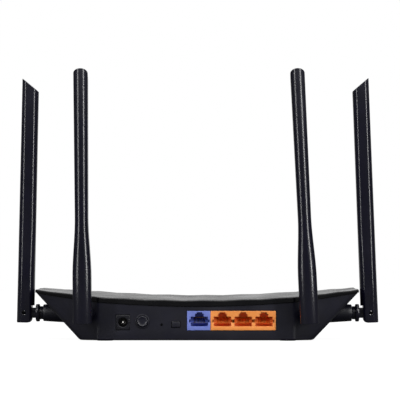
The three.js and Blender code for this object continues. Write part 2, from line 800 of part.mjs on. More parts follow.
function screw([x, y], headUnder, up, length) {
  const sense = up ? 1 : -1;
  const profile = [
    [0, -screwHeadHeight], [screwHeadRadius * 0.7, -screwHeadHeight],
    [screwHeadRadius, -screwHeadHeight / 2],
    [screwHeadRadius, 0], [screwRadius, 0], [screwRadius, length - 1], [screwRadius * 0.4, length],
    [0, length],
  ];
  const body = turned(profile, point(x, y, headUnder), point(0, 0, sense), smallSides);
  const top = headUnder - sense * screwHeadHeight;
  const slotFrom = Math.min(top, top + sense * 0.9) - (up ? 0.1 : 0);
  const slotTo = Math.max(top, top + sense * 0.9) + (up ? 0 : 0.1);
  return cut(
    body,
    block([x - 0.35, x + 0.35], [y - 1.5, y + 1.5], [slotFrom, slotTo]),
    block([x - 1.5, x + 1.5], [y - 0.35, y + 0.35], [slotFrom, slotTo]),
  );
}

function rubberFoot([x, y]) {
  const height = footHeight + footSink - gap;
  const profile = [[0, 0], [footRadius - 0.6, 0], [footRadius, 0.6], [footRadius, height], [0, height]];
  return turned(profile, point(x, y, 0), point(0, 0, 1));
}

function ratingLabel() {
  const low = (caseScrewPlaces[0][1] - caseBossRadius) - 2 - labelDepth;
  const height = [footHeight, footHeight + labelThick];
  return block([-labelWidth / 2, labelWidth / 2], [low, low + labelDepth], height);
}

// ---------------------------------------------------------------- hinge knuckle, in the hinge's own frame
// Origin on the boss's end face, +X out of the case, +Y along the pin, +Z up.

const collarFace = gap + neckLength + collarLength;
const pinReach = collarFace + pinFromCollar;

function hingeKnuckle(bossLength) {
  const inside = bossLength + gap;
  const tailEnd = inside + snapLength;
  const collarBack = gap + neckLength;
  const profile = [
    [0, -tailEnd], [snapRadius - 0.8, -tailEnd], [snapRadius, -tailEnd + 0.8], [snapRadius, -inside],
    [shaftRadius, -inside], [shaftRadius, gap], [neckRadius, gap], [neckRadius, collarBack],
    [collarRadius - collarChamfer, collarBack], [collarRadius, collarBack + collarChamfer],
    [collarRadius, collarFace - collarChamfer], [collarRadius - collarChamfer, collarFace], [0, collarFace],
  ];
  const shaft = turned(profile, point(0, 0, 0), point(1, 0, 0));
  const half = tongueHeight / 2;
  const shape = new THREE.Shape();
  shape.moveTo(collarFace - 1, -half);
  shape.lineTo(pinReach, -half);
  shape.absarc(pinReach, 0, half, -Math.PI / 2, Math.PI / 2, false);
  shape.lineTo(collarFace - 1, half);
  shape.closePath();
  const tongue = plate(shape, -tongueWidth / 2, tongueWidth / 2);
  return cut(
    join(shaft, tongue),
    rod(point(-tailEnd - 1, 0, 0), point(gap, 0, 0), shaftBore, shaftBore, smallSides),
    pushRod(pinReach, 0, -tongueWidth, tongueWidth, pinRadius + gap),
  );
}

// ---------------------------------------------------------------- antenna, in its own frame
// Origin on the pin's axis, +X away from the case, +Y along the pin, +Z up.

const antennaBottom = -antennaBelowPin;
const antennaTop = antennaLength - antennaBelowPin;

const smooth = THREE.MathUtils.smoothstep;

// Half the width along the pin and half the depth away from the case, at a height above the bottom.
function antennaHalfSize(height) {
  const narrowing = smooth(height, antennaFootEnd, antennaWaistAt);
  const neck = antennaWideFoot - (antennaWideFoot - antennaWideWaist) * narrowing;
  const flare = Math.max(0, (height - antennaWaistAt) / (antennaLength - antennaWaistAt));
  const wide = neck + (antennaWideTop - antennaWideWaist) * flare;
  const deep = THREE.MathUtils.lerp(antennaDeepFoot, antennaDeepTop, height / antennaLength);
  return { wide: wide / 2, deep: deep / 2 };
}

// The antenna's full form: crowned front and back between flat flanks, following the half sizes.
function antennaBlank() {
  const taper = antennaWaistAt - antennaFootEnd;
  const taperSteps = 4;
  const heights = [0];
  for (let i = 0; i <= taperSteps; i += 1) heights.push(antennaFootEnd + taper * i / taperSteps);
  heights.push(antennaLength);
  const sides = 20;
  const halfStep = Math.PI / sides;
  const geometry = new THREE.CylinderGeometry(1, 1, 1, sides, heights.length - 1);
  geometry.rotateY(halfStep);
  geometry.rotateX(Math.PI / 2);
  const position = geometry.getAttribute('position');
  for (let i = 0; i < position.count; i += 1) {
    const level = Math.round((position.getZ(i) + 0.5) * (heights.length - 1));
    const height = heights[level];
    const half = antennaHalfSize(height);
    const cosine = position.getX(i) / Math.cos(halfStep);
    const sine = position.getY(i) / Math.cos(halfStep);
    const flat = Math.abs(cosine) < 1e-6 ? 0 : Math.sign(cosine) * (half.deep - antennaCrown);
    const deep = flat + antennaCrown * cosine - antennaOffset;
    position.setXYZ(i, deep, half.wide * sine, antennaBottom + height);
  }
  return solid(geometry);
}

// Seen along the pin: rounded bottom corners, a step that clears the hinge, and a slanted top.
function antennaSideView() {
  const far = antennaDeepFoot / 2 - antennaOffset;
  const near = -antennaDeepFoot / 2 - antennaOffset;
  const stepped = near + hingeStep;
  const drop = antennaDeepFoot * Math.tan(radians(antennaTopSlant));
  const shape = new THREE.Shape();
  shape.moveTo(stepped + antennaInnerRound, antennaBottom);
  shape.lineTo(far - antennaOuterRound, antennaBottom);
  shape.absarc(far - antennaOuterRound, antennaBottom + antennaOuterRound, antennaOuterRound,
    -Math.PI / 2, 0, false);
  shape.lineTo(far, antennaTop);
  shape.lineTo(near, antennaTop - drop);
  shape.lineTo(near, hingeStepAbovePin);
  shape.lineTo(stepped, hingeStepAbovePin);
  shape.lineTo(stepped, antennaBottom + antennaInnerRound);
  shape.absarc(stepped + antennaInnerRound, antennaBottom + antennaInnerRound, antennaInnerRound,
    Math.PI, Math.PI * 1.5, false);
  shape.closePath();
  return plate(shape, -antennaWideFoot, antennaWideFoot, 4);
}

function antennaShell() {
  const room = tongueHeight / 2 + gap;
  const slot = [-tongueWidth / 2 - gap, tongueWidth / 2 + gap];
  const near = -antennaDeepFoot;
  const low = antennaBottom - 1;
  const boreTop = antennaTop - antennaDeepFoot * Math.tan(radians(antennaTopSlant)) - antennaBoreShort;
  return cut(
    antennaBlank().intersect(antennaSideView()),
    block([near, 0], slot, [low, room]),
    block([near, room], slot, [low, 0]),
    rod(point(0, slot[0], 0), point(0, slot[1], 0), room),
    pushRod(0, 0, -antennaWideFoot, antennaWideFoot, pinRadius + gap),
    drill([-antennaOffset, 0], 0, boreTop, antennaBore),
  );
}

function hingePin() {
  const half = antennaWideFoot / 2 - pinSink;
  return pushRod(0, 0, -half, half, pinRadius);
}

function radiator() {
  const low = tongueHeight / 2 + 2;
  const profile = [
    [0, 0], [radiatorRadius, 0], [radiatorRadius, radiatorLength / 2], [radiatorWire, radiatorLength / 2],
    [radiatorWire, radiatorLength], [0, radiatorLength],
  ];
  return turned(profile, point(-antennaOffset, 0, low), point(0, 0, 1), smallSides);
}

// Thin coaxial lead inside the case, from the hollow of a hinge shaft to the board.
function coaxLead(hinge) {
  const side = Math.sign(hinge.x);
  const endY = hinge.y < -panelBack ? boardBack + leadEndRear : hinge.y - leadEndSide;
  const end = point(side * (boardWidth / 2 - leadEndInset), endY, boardTop + gap + leadRadius);
  const inside = hinge.bossLength + snapLength;
  const start = alongHinge(hinge, -hinge.bossLength + 4);
  const leave = alongHinge(hinge, -inside - 1);
  const free = alongHinge(hinge, -inside - leadDrop);
  const above = point(end.x + side * leadDrop / 2, end.y, end.z + leadDrop);
  return wire([start, leave, free, above, end], leadRadius, 18);
}

// ---------------------------------------------------------------- the assembly

const router = new THREE.Group();

function addTo(parent, name, body, finish) {
  const mesh = new THREE.Mesh(geometryOf(body), materials[finish]);
  mesh.name = name;
  parent.add(mesh);
}
const add = (name, body, finish) => addTo(router, name, body, finish);

add('bottom_case', lowerCase(), 'case');
add('top_cover', topCover(), 'cover');
add('main_board', mainBoard(), 'board');

const wanCentre = wanLeft + wanWidth / 2 + 0.4;
const lanCentres = [-1, 0, 1].map((i) => lanLeft + lanWidth / 2 + i * lanPitch);
add('wan_jack', networkJack(wanLeft, wanWidth, [wanCentre]), 'blue');
add('wan_contacts', contactComb(wanCentre), 'gold');
add('lan_jack', networkJack(lanLeft, lanWidth, lanCentres), 'orange');
lanCentres.forEach((x, i) => add(`lan_contacts_${i + 1}`, contactComb(x), 'gold'));
add('power_inlet', powerInlet(), 'component');
add('power_inlet_pin', inletPin(), 'steel');

add('power_button', powerButton(), 'case');
add('power_switch', switchBody(powerX, powerZ, 8, switchFace, 12, powerStemLength + 1), 'component');
add('wps_button', wpsButton(), 'case');
add('wps_switch', switchBody(wpsX, wpsZ, 6, tactFace, 4, 3.4), 'component');
add('reset_plunger', resetPlunger(), 'case');
add('reset_switch', switchBody(resetX, resetZ, 6, tactFace, 4, 3.4), 'component');

add('light_pipe', lightPipe(), 'clear');
ledPlaces.forEach((x, i) => add(`led_${i + 1}`, ledChip(x), 'paper'));

add('processor_heatsink', heatsink([-12, 48.7], 24, 7, 9), 'steel');
add('radio_shield', boxOnBoard([-42, 36.7], [28, 24, 3]), 'steel');
add('wan_transformer', boxOnBoard([2, 20.7], [13, 9, 5]), 'component');
add('lan_transformer', boxOnBoard([34, 20.7], [26, 9, 5]), 'component');
add('memory_chip', boxOnBoard([20, 46.7], [12, 18, 1.2]), 'component');
add('input_capacitor', capacitor([-50, 18.7], 4, 11), 'component');
add('output_capacitor', capacitor([46, 38.7], 3.15, 8), 'component');

boardScrewPlaces.forEach((place, i) => {
  add(`board_screw_${i + 1}`, screw(place, boardTop + gap, false, boardTop - floorTop), 'steel');
});
caseScrewPlaces.forEach((place, i) => {
  add(`case_screw_${i + 1}`, screw(place, screwSeat - gap, true, 15), 'steel');
});
footPlaces.forEach((place, i) => add(`foot_${i + 1}`, rubberFoot(place), 'rubber'));
add('rating_label', ratingLabel(), 'paper');

for (const hinge of hinges) {
  add(`coax_lead_${hinge.name}`, coaxLead(hinge), 'lead');
  const mount = new THREE.Group();
  mount.position.copy(hinge.bossEnd);
  mount.rotation.z = radians(hinge.yaw);
  const swivel = new THREE.Group();
  swivel.rotation.x = -radians(swivelLean[hinge.name]);
  const fold = new THREE.Group();
  fold.position.x = pinReach;
  fold.rotation.y = radians(foldLean[hinge.name]);
  addTo(swivel, `hinge_knuckle_${hinge.name}`, hingeKnuckle(hinge.bossLength), 'antenna');
  addTo(fold, `antenna_${hinge.name}`, antennaShell(), 'antenna');
  addTo(fold, `hinge_pin_${hinge.name}`, hingePin(), 'steel');
  addTo(fold, `radiator_${hinge.name}`, radiator(), 'brass');
  swivel.add(fold);
  mount.add(swivel);
  router.add(mount);
}

// the origin goes under the middle of the whole object
router.updateMatrixWorld(true);
const box = new THREE.Box3().setFromObject(router, true);
router.position.set(-(box.min.x + box.max.x) / 2, -(box.min.y + box.max.y) / 2, -box.min.z);

export default router;
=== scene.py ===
"""A wireless router with four hinged antennas: its looks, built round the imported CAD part.

Metres, +Z up, with the socket panel facing -Y.  Places come from the CAD nodes' boxes and from the
joints; sizes that neither of them gives are named here in millimetres and multiplied by MM.
"""

import json
import math

import bmesh
import bpy
from mathutils import Matrix, Vector


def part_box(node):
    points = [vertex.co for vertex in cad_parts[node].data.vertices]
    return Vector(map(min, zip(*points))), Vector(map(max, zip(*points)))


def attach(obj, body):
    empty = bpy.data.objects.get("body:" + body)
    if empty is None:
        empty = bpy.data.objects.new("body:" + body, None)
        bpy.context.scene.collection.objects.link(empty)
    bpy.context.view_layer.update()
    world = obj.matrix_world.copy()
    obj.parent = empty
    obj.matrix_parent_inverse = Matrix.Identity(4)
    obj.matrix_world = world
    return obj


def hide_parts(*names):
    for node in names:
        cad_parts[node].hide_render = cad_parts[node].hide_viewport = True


MM = 0.001
X, Y, Z = Vector((1, 0, 0)), Vector((0, 1, 0)), Vector((0, 0, 1))

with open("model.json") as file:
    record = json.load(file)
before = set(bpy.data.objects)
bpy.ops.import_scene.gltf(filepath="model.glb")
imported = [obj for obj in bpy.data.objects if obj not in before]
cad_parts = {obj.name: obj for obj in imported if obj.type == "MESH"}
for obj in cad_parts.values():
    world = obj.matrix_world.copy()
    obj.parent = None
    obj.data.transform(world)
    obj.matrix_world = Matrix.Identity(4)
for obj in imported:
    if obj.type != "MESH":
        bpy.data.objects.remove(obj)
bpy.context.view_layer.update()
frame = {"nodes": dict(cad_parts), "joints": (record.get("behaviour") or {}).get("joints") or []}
joints = {joint["name"]: joint for joint in frame["joints"]}

# ---------------------------------------------------------------- sizes

# Casing, seen from above: an eight-sided outline round its own middle.
PANEL_WIDTH = 137 * MM
FACET_RUN = 34 * MM
FRONT_CORNER = Vector((76, 30)) * MM
BASE_WIDTH = 162 * MM
RIM_OVERHANG = 0.8 * MM
WALL = 2 * MM
FLOOR = 2 * MM
BASE_ROUND = 1.2 * MM
TIP_ROUND = 3.1 * MM
PANEL_ROUND = 1.4 * MM

# Roof: higher at the front, and its middle dips below the tips.
ROOF_REAR = 28.1 * MM
ROOF_FRONT = 31.2 * MM
DIP_REAR = 6.9 * MM
DIP_FRONT = 6.6 * MM
RIM_MIDDLE = 4 * MM
RIM_TIP = 2.1 * MM
RIM_ROUND = 0.9 * MM
FACET_HALF_WIDTH = 13.45 * MM
FACET_HALF_LENGTH = 24 * MM
FACET_RISE = 0.4 * MM
FACET_PHASE = -8.7 * MM
FACETS_ACROSS = 15

# Fits and fasteners.
GAP = 0.3 * MM
SCREW_RADIUS = 1.5 * MM
SCREW_HEAD_RADIUS = 2.7 * MM
SCREW_SEAT = 5 * MM
SCREW_HOLE_DEPTH = 16 * MM  # from a case screw's seat to the end of its hole
STANDOFF_RADIUS = 3 * MM
CASE_BOSS_RADIUS = 4.4 * MM
COVER_BOSS_RADIUS = CASE_BOSS_RADIUS - 0.6 * MM
CASE_BOSS_TOP = 11 * MM

# Hinges.
HINGES = ("rear_left", "rear_right", "side_left", "side_right")
ANTENNA_LEAN = {"side_left": -1.05, "side_right": -2.05}  # degrees about the pin, at rest
BOSS_RADIUS = 6 * MM
BOSS_ROOT_RADIUS = 7.3 * MM
BOSS_EDGE = 0.5 * MM
SHAFT_RADIUS = 3.5 * MM
SHAFT_BORE = 1.5 * MM
SNAP_RADIUS = 4.6 * MM
SNAP_LENGTH = 1.6 * MM
SNAP_LEAD = 0.8 * MM
NECK_RADIUS = 4.7 * MM
NECK_LENGTH = 2.2 * MM
COLLAR_RADIUS = 6.3 * MM
COLLAR_LENGTH = 2.8 * MM
COLLAR_ROUND = 0.7 * MM
COLLAR_SHOULDER = 0.2 * MM
TONGUE_HEIGHT = 7.4 * MM
TONGUE_WIDTH = 5 * MM
TONGUE_ROUND = 0.3 * MM
PIN_RADIUS = 1.2 * MM
PIN_SINK = 0.6 * MM

# Antennas: "deep" is measured away from the casing, "wide" along the hinge pin.
ANTENNA_LENGTH = 176 * MM
ANTENNA_BELOW_PIN = 7 * MM
ANTENNA_OFFSET = 1 * MM
DEEP_FOOT = 12.5 * MM
DEEP_TOP = 12 * MM
WIDE_FOOT = 12.8 * MM
WIDE_WAIST = 9.1 * MM
WIDE_TOP = 10 * MM
FOOT_END = 32 * MM
WAIST_AT = 73 * MM
CROWN = 3.9 * MM
TOP_SLANT = math.radians(38.5)
HINGE_STEP = 1.8 * MM
HINGE_STEP_TOP = 5.4 * MM
INNER_ROUND = 3.2 * MM
TOP_RIM_ROUND = 0.4 * MM
FOOT_RIM_ROUND = 0.5 * MM
ANTENNA_BORE = 3 * MM
BORE_SHORT = 12 * MM

# Rear panel.
PORT_WIDTH = 12 * MM
PORT_HEIGHT = 6.7 * MM
PORT_DEPTH = 12 * MM
PORT_SILL = 2.7 * MM
LATCH = ((3 * MM, 2 * MM), (2 * MM, 3.1 * MM))  # half width and height above the opening
EAR = (1.1 * MM, 2.7 * MM, 4.7 * MM)  # a side notch's depth, and its bottom and top above the sill
SOCKET_EDGE = 0.12 * MM
CONTACTS = 8
CONTACT_PITCH = 1.02 * MM
CONTACT_RADIUS = 0.22 * MM
CONTACT_RUN = 6.5 * MM
BED_LIFT = 2.7 * MM  # the sloped bed under the contacts starts this far above the sill
BED_TOP = 6.5 * MM
INLET_BORE = 3.2 * MM
INLET_BORE_DEPTH = 9.5 * MM
INLET_PIN_RADIUS = 1.05 * MM
INLET_EDGE = 0.35 * MM
RIVET_LENGTH = 0.8 * MM
RIVET_EDGE = 0.2 * MM
POWER_RING_RADIUS = 4.95 * MM
POWER_RING_PROUD = 0.7 * MM
POWER_RADIUS = 3.9 * MM
RESET_HOLE = 0.9 * MM
FLANGE_THICK = 0.9 * MM
KEY_FLANGE = 0.9 * MM
KEY_ROUND = 0.5 * MM
STEM_RADIUS = 1.4 * MM

# Underside.
FOOT_SINK = 0.8 * MM
LABEL_CORNER = 2 * MM
VENTS = 12
VENT_PITCH = 6.6 * MM
VENT_WIDTH = 2.2 * MM
VENT_LENGTH = 20 * MM
VENT_ROWS = (19.2 * MM, 44.2 * MM)  # from the rear panel
KEYHOLE_X = 52 * MM
KEYHOLE_FROM_FRONT = 42 * MM
KEYHOLE_HEAD = 4 * MM
KEYHOLE_SLOT = 2.1 * MM
KEYHOLE_RUN = 8 * MM
WINDOW_WIDTH = 5 * MM
WINDOW_DEPTH = 1.3 * MM

# How close two numbers have to be to count as the same place.
CLOSE = 1e-5

# ---------------------------------------------------------------- places that the CAD gives

case_low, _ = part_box("bottom_case")
cover_low, cover_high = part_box("top_cover")
board_low, board_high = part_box("main_board")
panel_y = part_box("lan_jack")[0].y
panel_inside = panel_y + WALL
cutter_near = panel_y - 3 * MM
cutter_far = panel_inside + MM
middle = Vector(((cover_low.x + cover_high.x) / 2, (cover_low.y + cover_high.y) / 2, 0))
half_width = (cover_high.x - cover_low.x) / 2
half_depth = (cover_high.y - cover_low.y) / 2
base_z = case_low.z
floor_top = base_z + FLOOR
rim_level = ROOF_REAR + DIP_REAR - RIM_TIP
side_lean = (half_width - RIM_OVERHANG - BASE_WIDTH / 2) / (rim_level - base_z)
base_front = middle.y + half_depth - RIM_OVERHANG - (rim_level - base_z) * side_lean
above_all = 60 * MM
below_all = -20 * MM
through_floor = floor_top + MM
in_floor = floor_top - MM


def middle_of(node):
    """The middle of a CAD node's box."""
    low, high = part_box(node)
    return (low + high) / 2


power_centre = middle_of("power_button")
board_screws = [middle_of(f"board_screw_{index}") for index in (1, 2, 3)]
case_screws = [middle_of(f"case_screw_{index}") for index in (1, 2)]

# ---------------------------------------------------------------- modelling helpers


def make_active(piece):
    """Selects this one object."""
    bpy.ops.object.select_all(action="DESELECT")
    piece.select_set(True)
    bpy.context.view_layer.objects.active = piece


def settle(piece, place=None):
    """Moves a piece to its place and puts that place into its mesh."""
    if place is not None:
        piece.matrix_world = place
    make_active(piece)
    bpy.ops.object.transform_apply(location=True, rotation=True, scale=True)
    return piece


def named(name):
    """Names the primitive that was just added, with its place in its mesh."""
    piece = bpy.context.object
    piece.name = name
    piece.data.name = name
    return settle(piece)


def start_edit(piece):
    """Opens a piece for editing, all of it selected."""
    make_active(piece)
    bpy.ops.object.mode_set(mode="EDIT")
    bpy.ops.mesh.select_mode(type="VERT")
    bpy.ops.mesh.select_all(action="SELECT")


def end_edit():
    """Closes the open piece with its faces pointing out."""
    bpy.ops.mesh.select_all(action="SELECT")
    bpy.ops.mesh.normals_make_consistent(inside=False)
    bpy.ops.object.mode_set(mode="OBJECT")


def select_where(kind, test):
    """Selects the open piece's verts, edges or faces that pass the test."""
    modes = {"verts": "VERT", "edges": "EDGE", "faces": "FACE"}
    bpy.ops.mesh.select_all(action="DESELECT")
    bpy.ops.mesh.select_mode(type=modes[kind])
    shape = bmesh.from_edit_mesh(bpy.context.edit_object.data)
    for part in getattr(shape, kind):
        if test(part):
            part.select_set(True)
    bmesh.update_edit_mesh(bpy.context.edit_object.data)


def block(name, low, high):
    """A box between two corners."""
    low, high = Vector(low), Vector(high)
    bpy.ops.object.select_all(action="DESELECT")
    bpy.ops.mesh.primitive_cube_add(size=1, location=(low + high) / 2, scale=high - low)
    return named(name)


def bar(name, start, end, radius, end_radius=None, sides=48):
    """A round bar from one point to another."""
    along = Vector(end) - Vector(start)
    bpy.ops.object.select_all(action="DESELECT")
    bpy.ops.mesh.primitive_cone_add(
        vertices=sides,
        radius1=radius,
        radius2=radius if end_radius is None else end_radius,
        depth=along.length,
        location=Vector(start) + along / 2,
        rotation=along.to_track_quat("Z", "Y").to_euler(),
    )
    return named(name)


def upright(name, at, low, high, radius, sides=48):
    """A round bar that stands at a place, between two heights."""
    return bar(name, (at.x, at.y, low), (at.x, at.y, high), radius, sides=sides)


def draw_out(rise, scale, height):
    """Extrudes the selected end face upwards and scales it about the piece's own axis."""
    bpy.ops.mesh.extrude_region_move(TRANSFORM_OT_translate={"value": (0, 0, rise)})
    bpy.ops.transform.resize(value=(scale[0], scale[1], 1), center_override=(0, 0, height))


def facing(start, direction):
    """The place of a turned piece that leaves `start` in a direction."""
    return Matrix.Translation(start) @ Vector(direction).to_track_quat("Z", "Y").to_matrix().to_4x4()


def turned(name, stations, place, sides=64):
    """A round piece drawn out through its (radius, distance) stations."""
    radius, distance = stations[0]
    bpy.ops.object.select_all(action="DESELECT")
    bpy.ops.mesh.primitive_circle_add(
        vertices=sides, radius=radius, fill_type="NGON", location=(0, 0, distance)
    )
    piece = named(name)
    start_edit(piece)
    for next_radius, next_distance in stations[1:]:
        scale = next_radius / radius
        draw_out(next_distance - distance, (scale, scale), next_distance)
        radius, distance = next_radius, next_distance
    end_edit()
    return settle(piece, place)


def combine(piece, tool, operation="DIFFERENCE"):
    """Cuts a tool out of a piece, joins it on, or keeps what they share."""
    change = piece.modifiers.new("combine", "BOOLEAN")
    change.operation = operation
    change.solver = "EXACT"
    change.object = tool
    make_active(piece)
    bpy.ops.object.modifier_apply(modifier=change.name)
    bpy.data.objects.remove(tool)
    return piece


def drill(piece, at, low, high, radius, sides=48):
    """Bores a round hole between two heights."""
    return combine(piece, upright("drill", at, low, high, radius, sides))


def bevel_edges(test, width, segments):
    """Rounds the open piece's edges that pass the test."""
    select_where("edges", test)
    bpy.ops.mesh.bevel(offset=width, segments=segments, affect="EDGES")


def soften(piece, width, segments=2, angle=35):
    """Rounds every edge that is sharper than the angle."""
    rounding = piece.modifiers.new("soften", "BEVEL")
    rounding.width = width
    rounding.segments = segments
    rounding.limit_method = "ANGLE"
    rounding.angle_limit = math.radians(angle)
    make_active(piece)
    bpy.ops.object.modifier_apply(modifier=rounding.name)
    return piece


def smooth(piece, angle=30):
    """Shades smoothly across every edge that is flatter than the angle."""
    make_active(piece)
    bpy.ops.object.shade_smooth_by_angle(angle=math.radians(angle))
    return piece


def joined(name, pieces):
    """Makes several meshes one piece."""
    make_active(pieces[0])
    for piece in pieces[1:]:
        piece.select_set(True)
    bpy.ops.object.join()
    return named(name)


def painted(piece, finish):
    """Gives a piece its one finish."""
    piece.data.materials.clear()
    piece.data.materials.append(finish)
    return piece


def mount(piece, body, slot, *nodes):
    """Fixes a piece to its body, in place of the CAD nodes it stands for."""
    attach(piece, body)
    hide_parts(*nodes)
    return piece


# ---------------------------------------------------------------- finishes


def linear(hex_colour):
    """An sRGB hex colour as linear RGBA."""
    levels = [int(hex_colour[i : i + 2], 16) / 255 for i in (0, 2, 4)]
    return [v / 12.92 if v <= 0.04045 else ((v + 0.055) / 1.055) ** 2.4 for v in levels] + [1]


def add_node(tree, kind, inputs=None, **settings):
    """Adds a node, and fills its inputs with values or with other nodes' outputs."""
    node = tree.nodes.new("ShaderNode" + kind)
    for name, value in settings.items():
        setattr(node, name, value)
    for name, value in (inputs or {}).items():
        if isinstance(value, bpy.types.NodeSocket):
            tree.links.new(value, node.inputs[name])
        else:
            node.inputs[name].default_value = value
    return node


def start_finish(name, colour, roughness, **values):
    """A new finish: its node tree, its shader and its pattern coordinates."""
    material = bpy.data.materials.new(name)
    material.use_nodes = True
    tree = material.node_tree
    shader = tree.nodes["Principled BSDF"]
    shader.inputs["Base Color"].default_value = linear(colour)
    shader.inputs["Roughness"].default_value = roughness
    for socket, value in values.items():
        shader.inputs[socket.replace("_", " ")].default_value = value
    place = add_node(tree, "TexCoord").outputs["Object"]
    return material, tree, shader, place


def per(size_mm):
    """The scale at which a pattern's features are this many millimetres across."""
    return 1 / (size_mm * MM)


def add_relief(tree, shader, height, depth_mm, strength=1.0):
    """Raises the surface by a pattern, to a depth in millimetres."""
    relief = {"Height": height, "Distance": depth_mm * MM, "Strength": strength}
    bump = add_node(tree, "Bump", relief)
    tree.links.new(bump.outputs["Normal"], shader.inputs["Normal"])


def add_grain(tree, shader, place, size_mm, depth_mm):
    """An even relief over the whole surface.

    Moulded and plated grain is 0.02 to 0.1 mm across, too fine to show, so it is drawn coarser here.
    """
    grain = add_node(tree, "TexNoise", {"Vector": place, "Scale": per(size_mm), "Detail": 2})
    add_relief(tree, shader, grain.outputs["Fac"], depth_mm)


def add_patches(tree, shader, place, size_mm, roughness):
    """Slow drifts of roughness between two values, as handling and the mould leave them."""
    drift = add_node(tree, "TexNoise", {"Vector": place, "Scale": per(size_mm), "Detail": 3})
    spread = {
        "Value": drift.outputs["Fac"],
        "From Min": 0.3,
        "From Max": 0.7,
        "To Min": roughness[0],
        "To Max": roughness[1],
    }
    level = add_node(tree, "MapRange", spread)
    tree.links.new(level.outputs["Result"], shader.inputs["Roughness"])


def add_mottle(tree, shader, place, size_mm, colours):
    """Base colour that wanders between two near tones."""
    drift = add_node(tree, "TexNoise", {"Vector": place, "Scale": per(size_mm), "Detail": 4})
    ramp = add_node(tree, "ValToRGB", {"Fac": drift.outputs["Fac"]})
    for stop, at, colour in zip(ramp.color_ramp.elements, (0.35, 0.65), colours):
        stop.position = at
        stop.color = linear(colour)
    tree.links.new(ramp.outputs["Color"], shader.inputs["Base Color"])


def spark_eroded_abs():
    """Black ABS moulded in a spark-eroded tool: an even grain that spreads each highlight.

    The tool's grain is about 0.05 mm; it is drawn 0.7 mm across so that it shows.
    """
    material, tree, shader, place = start_finish("spark_eroded_abs", "0d0d1c", 0.4, IOR=1.54)
    add_mottle(tree, shader, place, 9, ("0b0b19", "0f0f1f"))
    add_patches(tree, shader, place, 22, (0.36, 0.46))
    add_grain(tree, shader, place, 0.7, 0.012)
    return material


def polished_abs():
    """Black ABS from a polished mould: near a mirror, with the slow ripple of moulded plastic."""
    material, tree, shader, place = start_finish("polished_abs", "08080b", 0.2, IOR=1.54)
    add_patches(tree, shader, place, 30, (0.16, 0.27))
    add_grain(tree, shader, place, 7, 0.02)
    return material


def satin_polycarbonate():
    """Black polycarbonate blend of the antennas: satin, so strip lights show as soft-edged bands.

    Its only relief is the slow sink of a long moulding, about 4 mm from crest to crest.
    """
    material, tree, shader, place = start_finish("satin_polycarbonate", "0b0b1a", 0.24, IOR=1.58)
    add_mottle(tree, shader, place, 12, ("0a0a18", "0d0c1d"))
    add_patches(tree, shader, place, 35, (0.2, 0.25))
    add_grain(tree, shader, place, 4, 0.002)
    return material


def socket_pbt(name, colours):
    """Glass-filled PBT of a network socket: clean colour, faint flow marks and a dull sheen.

    The glass fibres are 0.01 mm thick; the grain they leave is drawn 0.5 mm across so that it shows.
    """
    material, tree, shader, place = start_finish(name, colours[0], 0.42, IOR=1.55)
    add_mottle(tree, shader, place, 3, colours)
    add_patches(tree, shader, place, 5, (0.36, 0.5))
    add_grain(tree, shader, place, 0.5, 0.012)
    return material


def gloss_nylon():
    """Black nylon of the power inlet: smooth moulded, a little shinier than the casing."""
    material, tree, shader, place = start_finish("gloss_nylon", "15151c", 0.3, IOR=1.53)
    add_patches(tree, shader, place, 4, (0.25, 0.36))
    add_grain(tree, shader, place, 0.6, 0.006)
    return material


def plated_metal(name, colour, roughness, grain_mm):
    """Bright plating over stamped or turned metal: clean reflections broken by tool marks."""
    material, tree, shader, place = start_finish(name, colour, roughness, Metallic=1.0)
    add_patches(tree, shader, place, 1.5, (roughness * 0.8, roughness * 1.3))
    add_grain(tree, shader, place, grain_mm, 0.004)
    return material


def extruded_aluminium():
    """Plain extruded aluminium: die lines along the fins, drawn 0.4 mm apart so that they show."""
    material, tree, shader, place = start_finish("extruded_aluminium", "c3c6ca", 0.34, Metallic=1.0)
    stretch = add_node(tree, "Mapping", {"Vector": place, "Scale": (1, 0.02, 1)})
    add_grain(tree, shader, stretch.outputs["Vector"], 0.4, 0.02)
    add_patches(tree, shader, stretch.outputs["Vector"], 2, (0.28, 0.42))
    return material


def tinned_steel():
    """Tin-plated sheet steel: soft grey with the faint crystals of the tin, about 3 mm across."""
    material, tree, shader, place = start_finish("tinned_steel", "b4b6b8", 0.3, Metallic=1.0)
    crystals = add_node(tree, "TexVoronoi", {"Vector": place, "Scale": per(3)})
    spread = {"Value": crystals.outputs["Distance"], "To Min": 0.24, "To Max": 0.42}
    level = add_node(tree, "MapRange", spread)
    tree.links.new(level.outputs["Result"], shader.inputs["Roughness"])
    add_grain(tree, shader, place, 0.8, 0.006)
    return material


def solder_mask():
    """Green solder mask on glass-epoxy board: copper tracks show through as paler, raised lines."""
    material, tree, shader, place = start_finish("solder_mask", "1c5a36", 0.32, IOR=1.5)
    layout = {
        "Vector": place,
        "Scale": 1.0,
        "Mortar Size": 0.25 * MM,
        "Mortar Smooth": 0.1,
        "Brick Width": 6 * MM,
        "Row Height": 1.2 * MM,
        "Color1": linear("1a5231"),
        "Color2": linear("1d5c38"),
        "Mortar": linear("3a8a58"),
    }
    tracks = add_node(tree, "TexBrick", layout, offset=0.37)
    tree.links.new(tracks.outputs["Color"], shader.inputs["Base Color"])
    add_relief(tree, shader, tracks.outputs["Fac"], 0.03, 0.6)
    return material


def epoxy_mould():
    """Epoxy moulding compound of chips and transformers: dull charcoal with a sandy grain."""
    material, tree, shader, place = start_finish("epoxy_mould", "232326", 0.6, IOR=1.55)
    add_mottle(tree, shader, place, 1.2, ("202023", "2a2a2d"))
    add_grain(tree, shader, place, 0.3, 0.02)
    return material


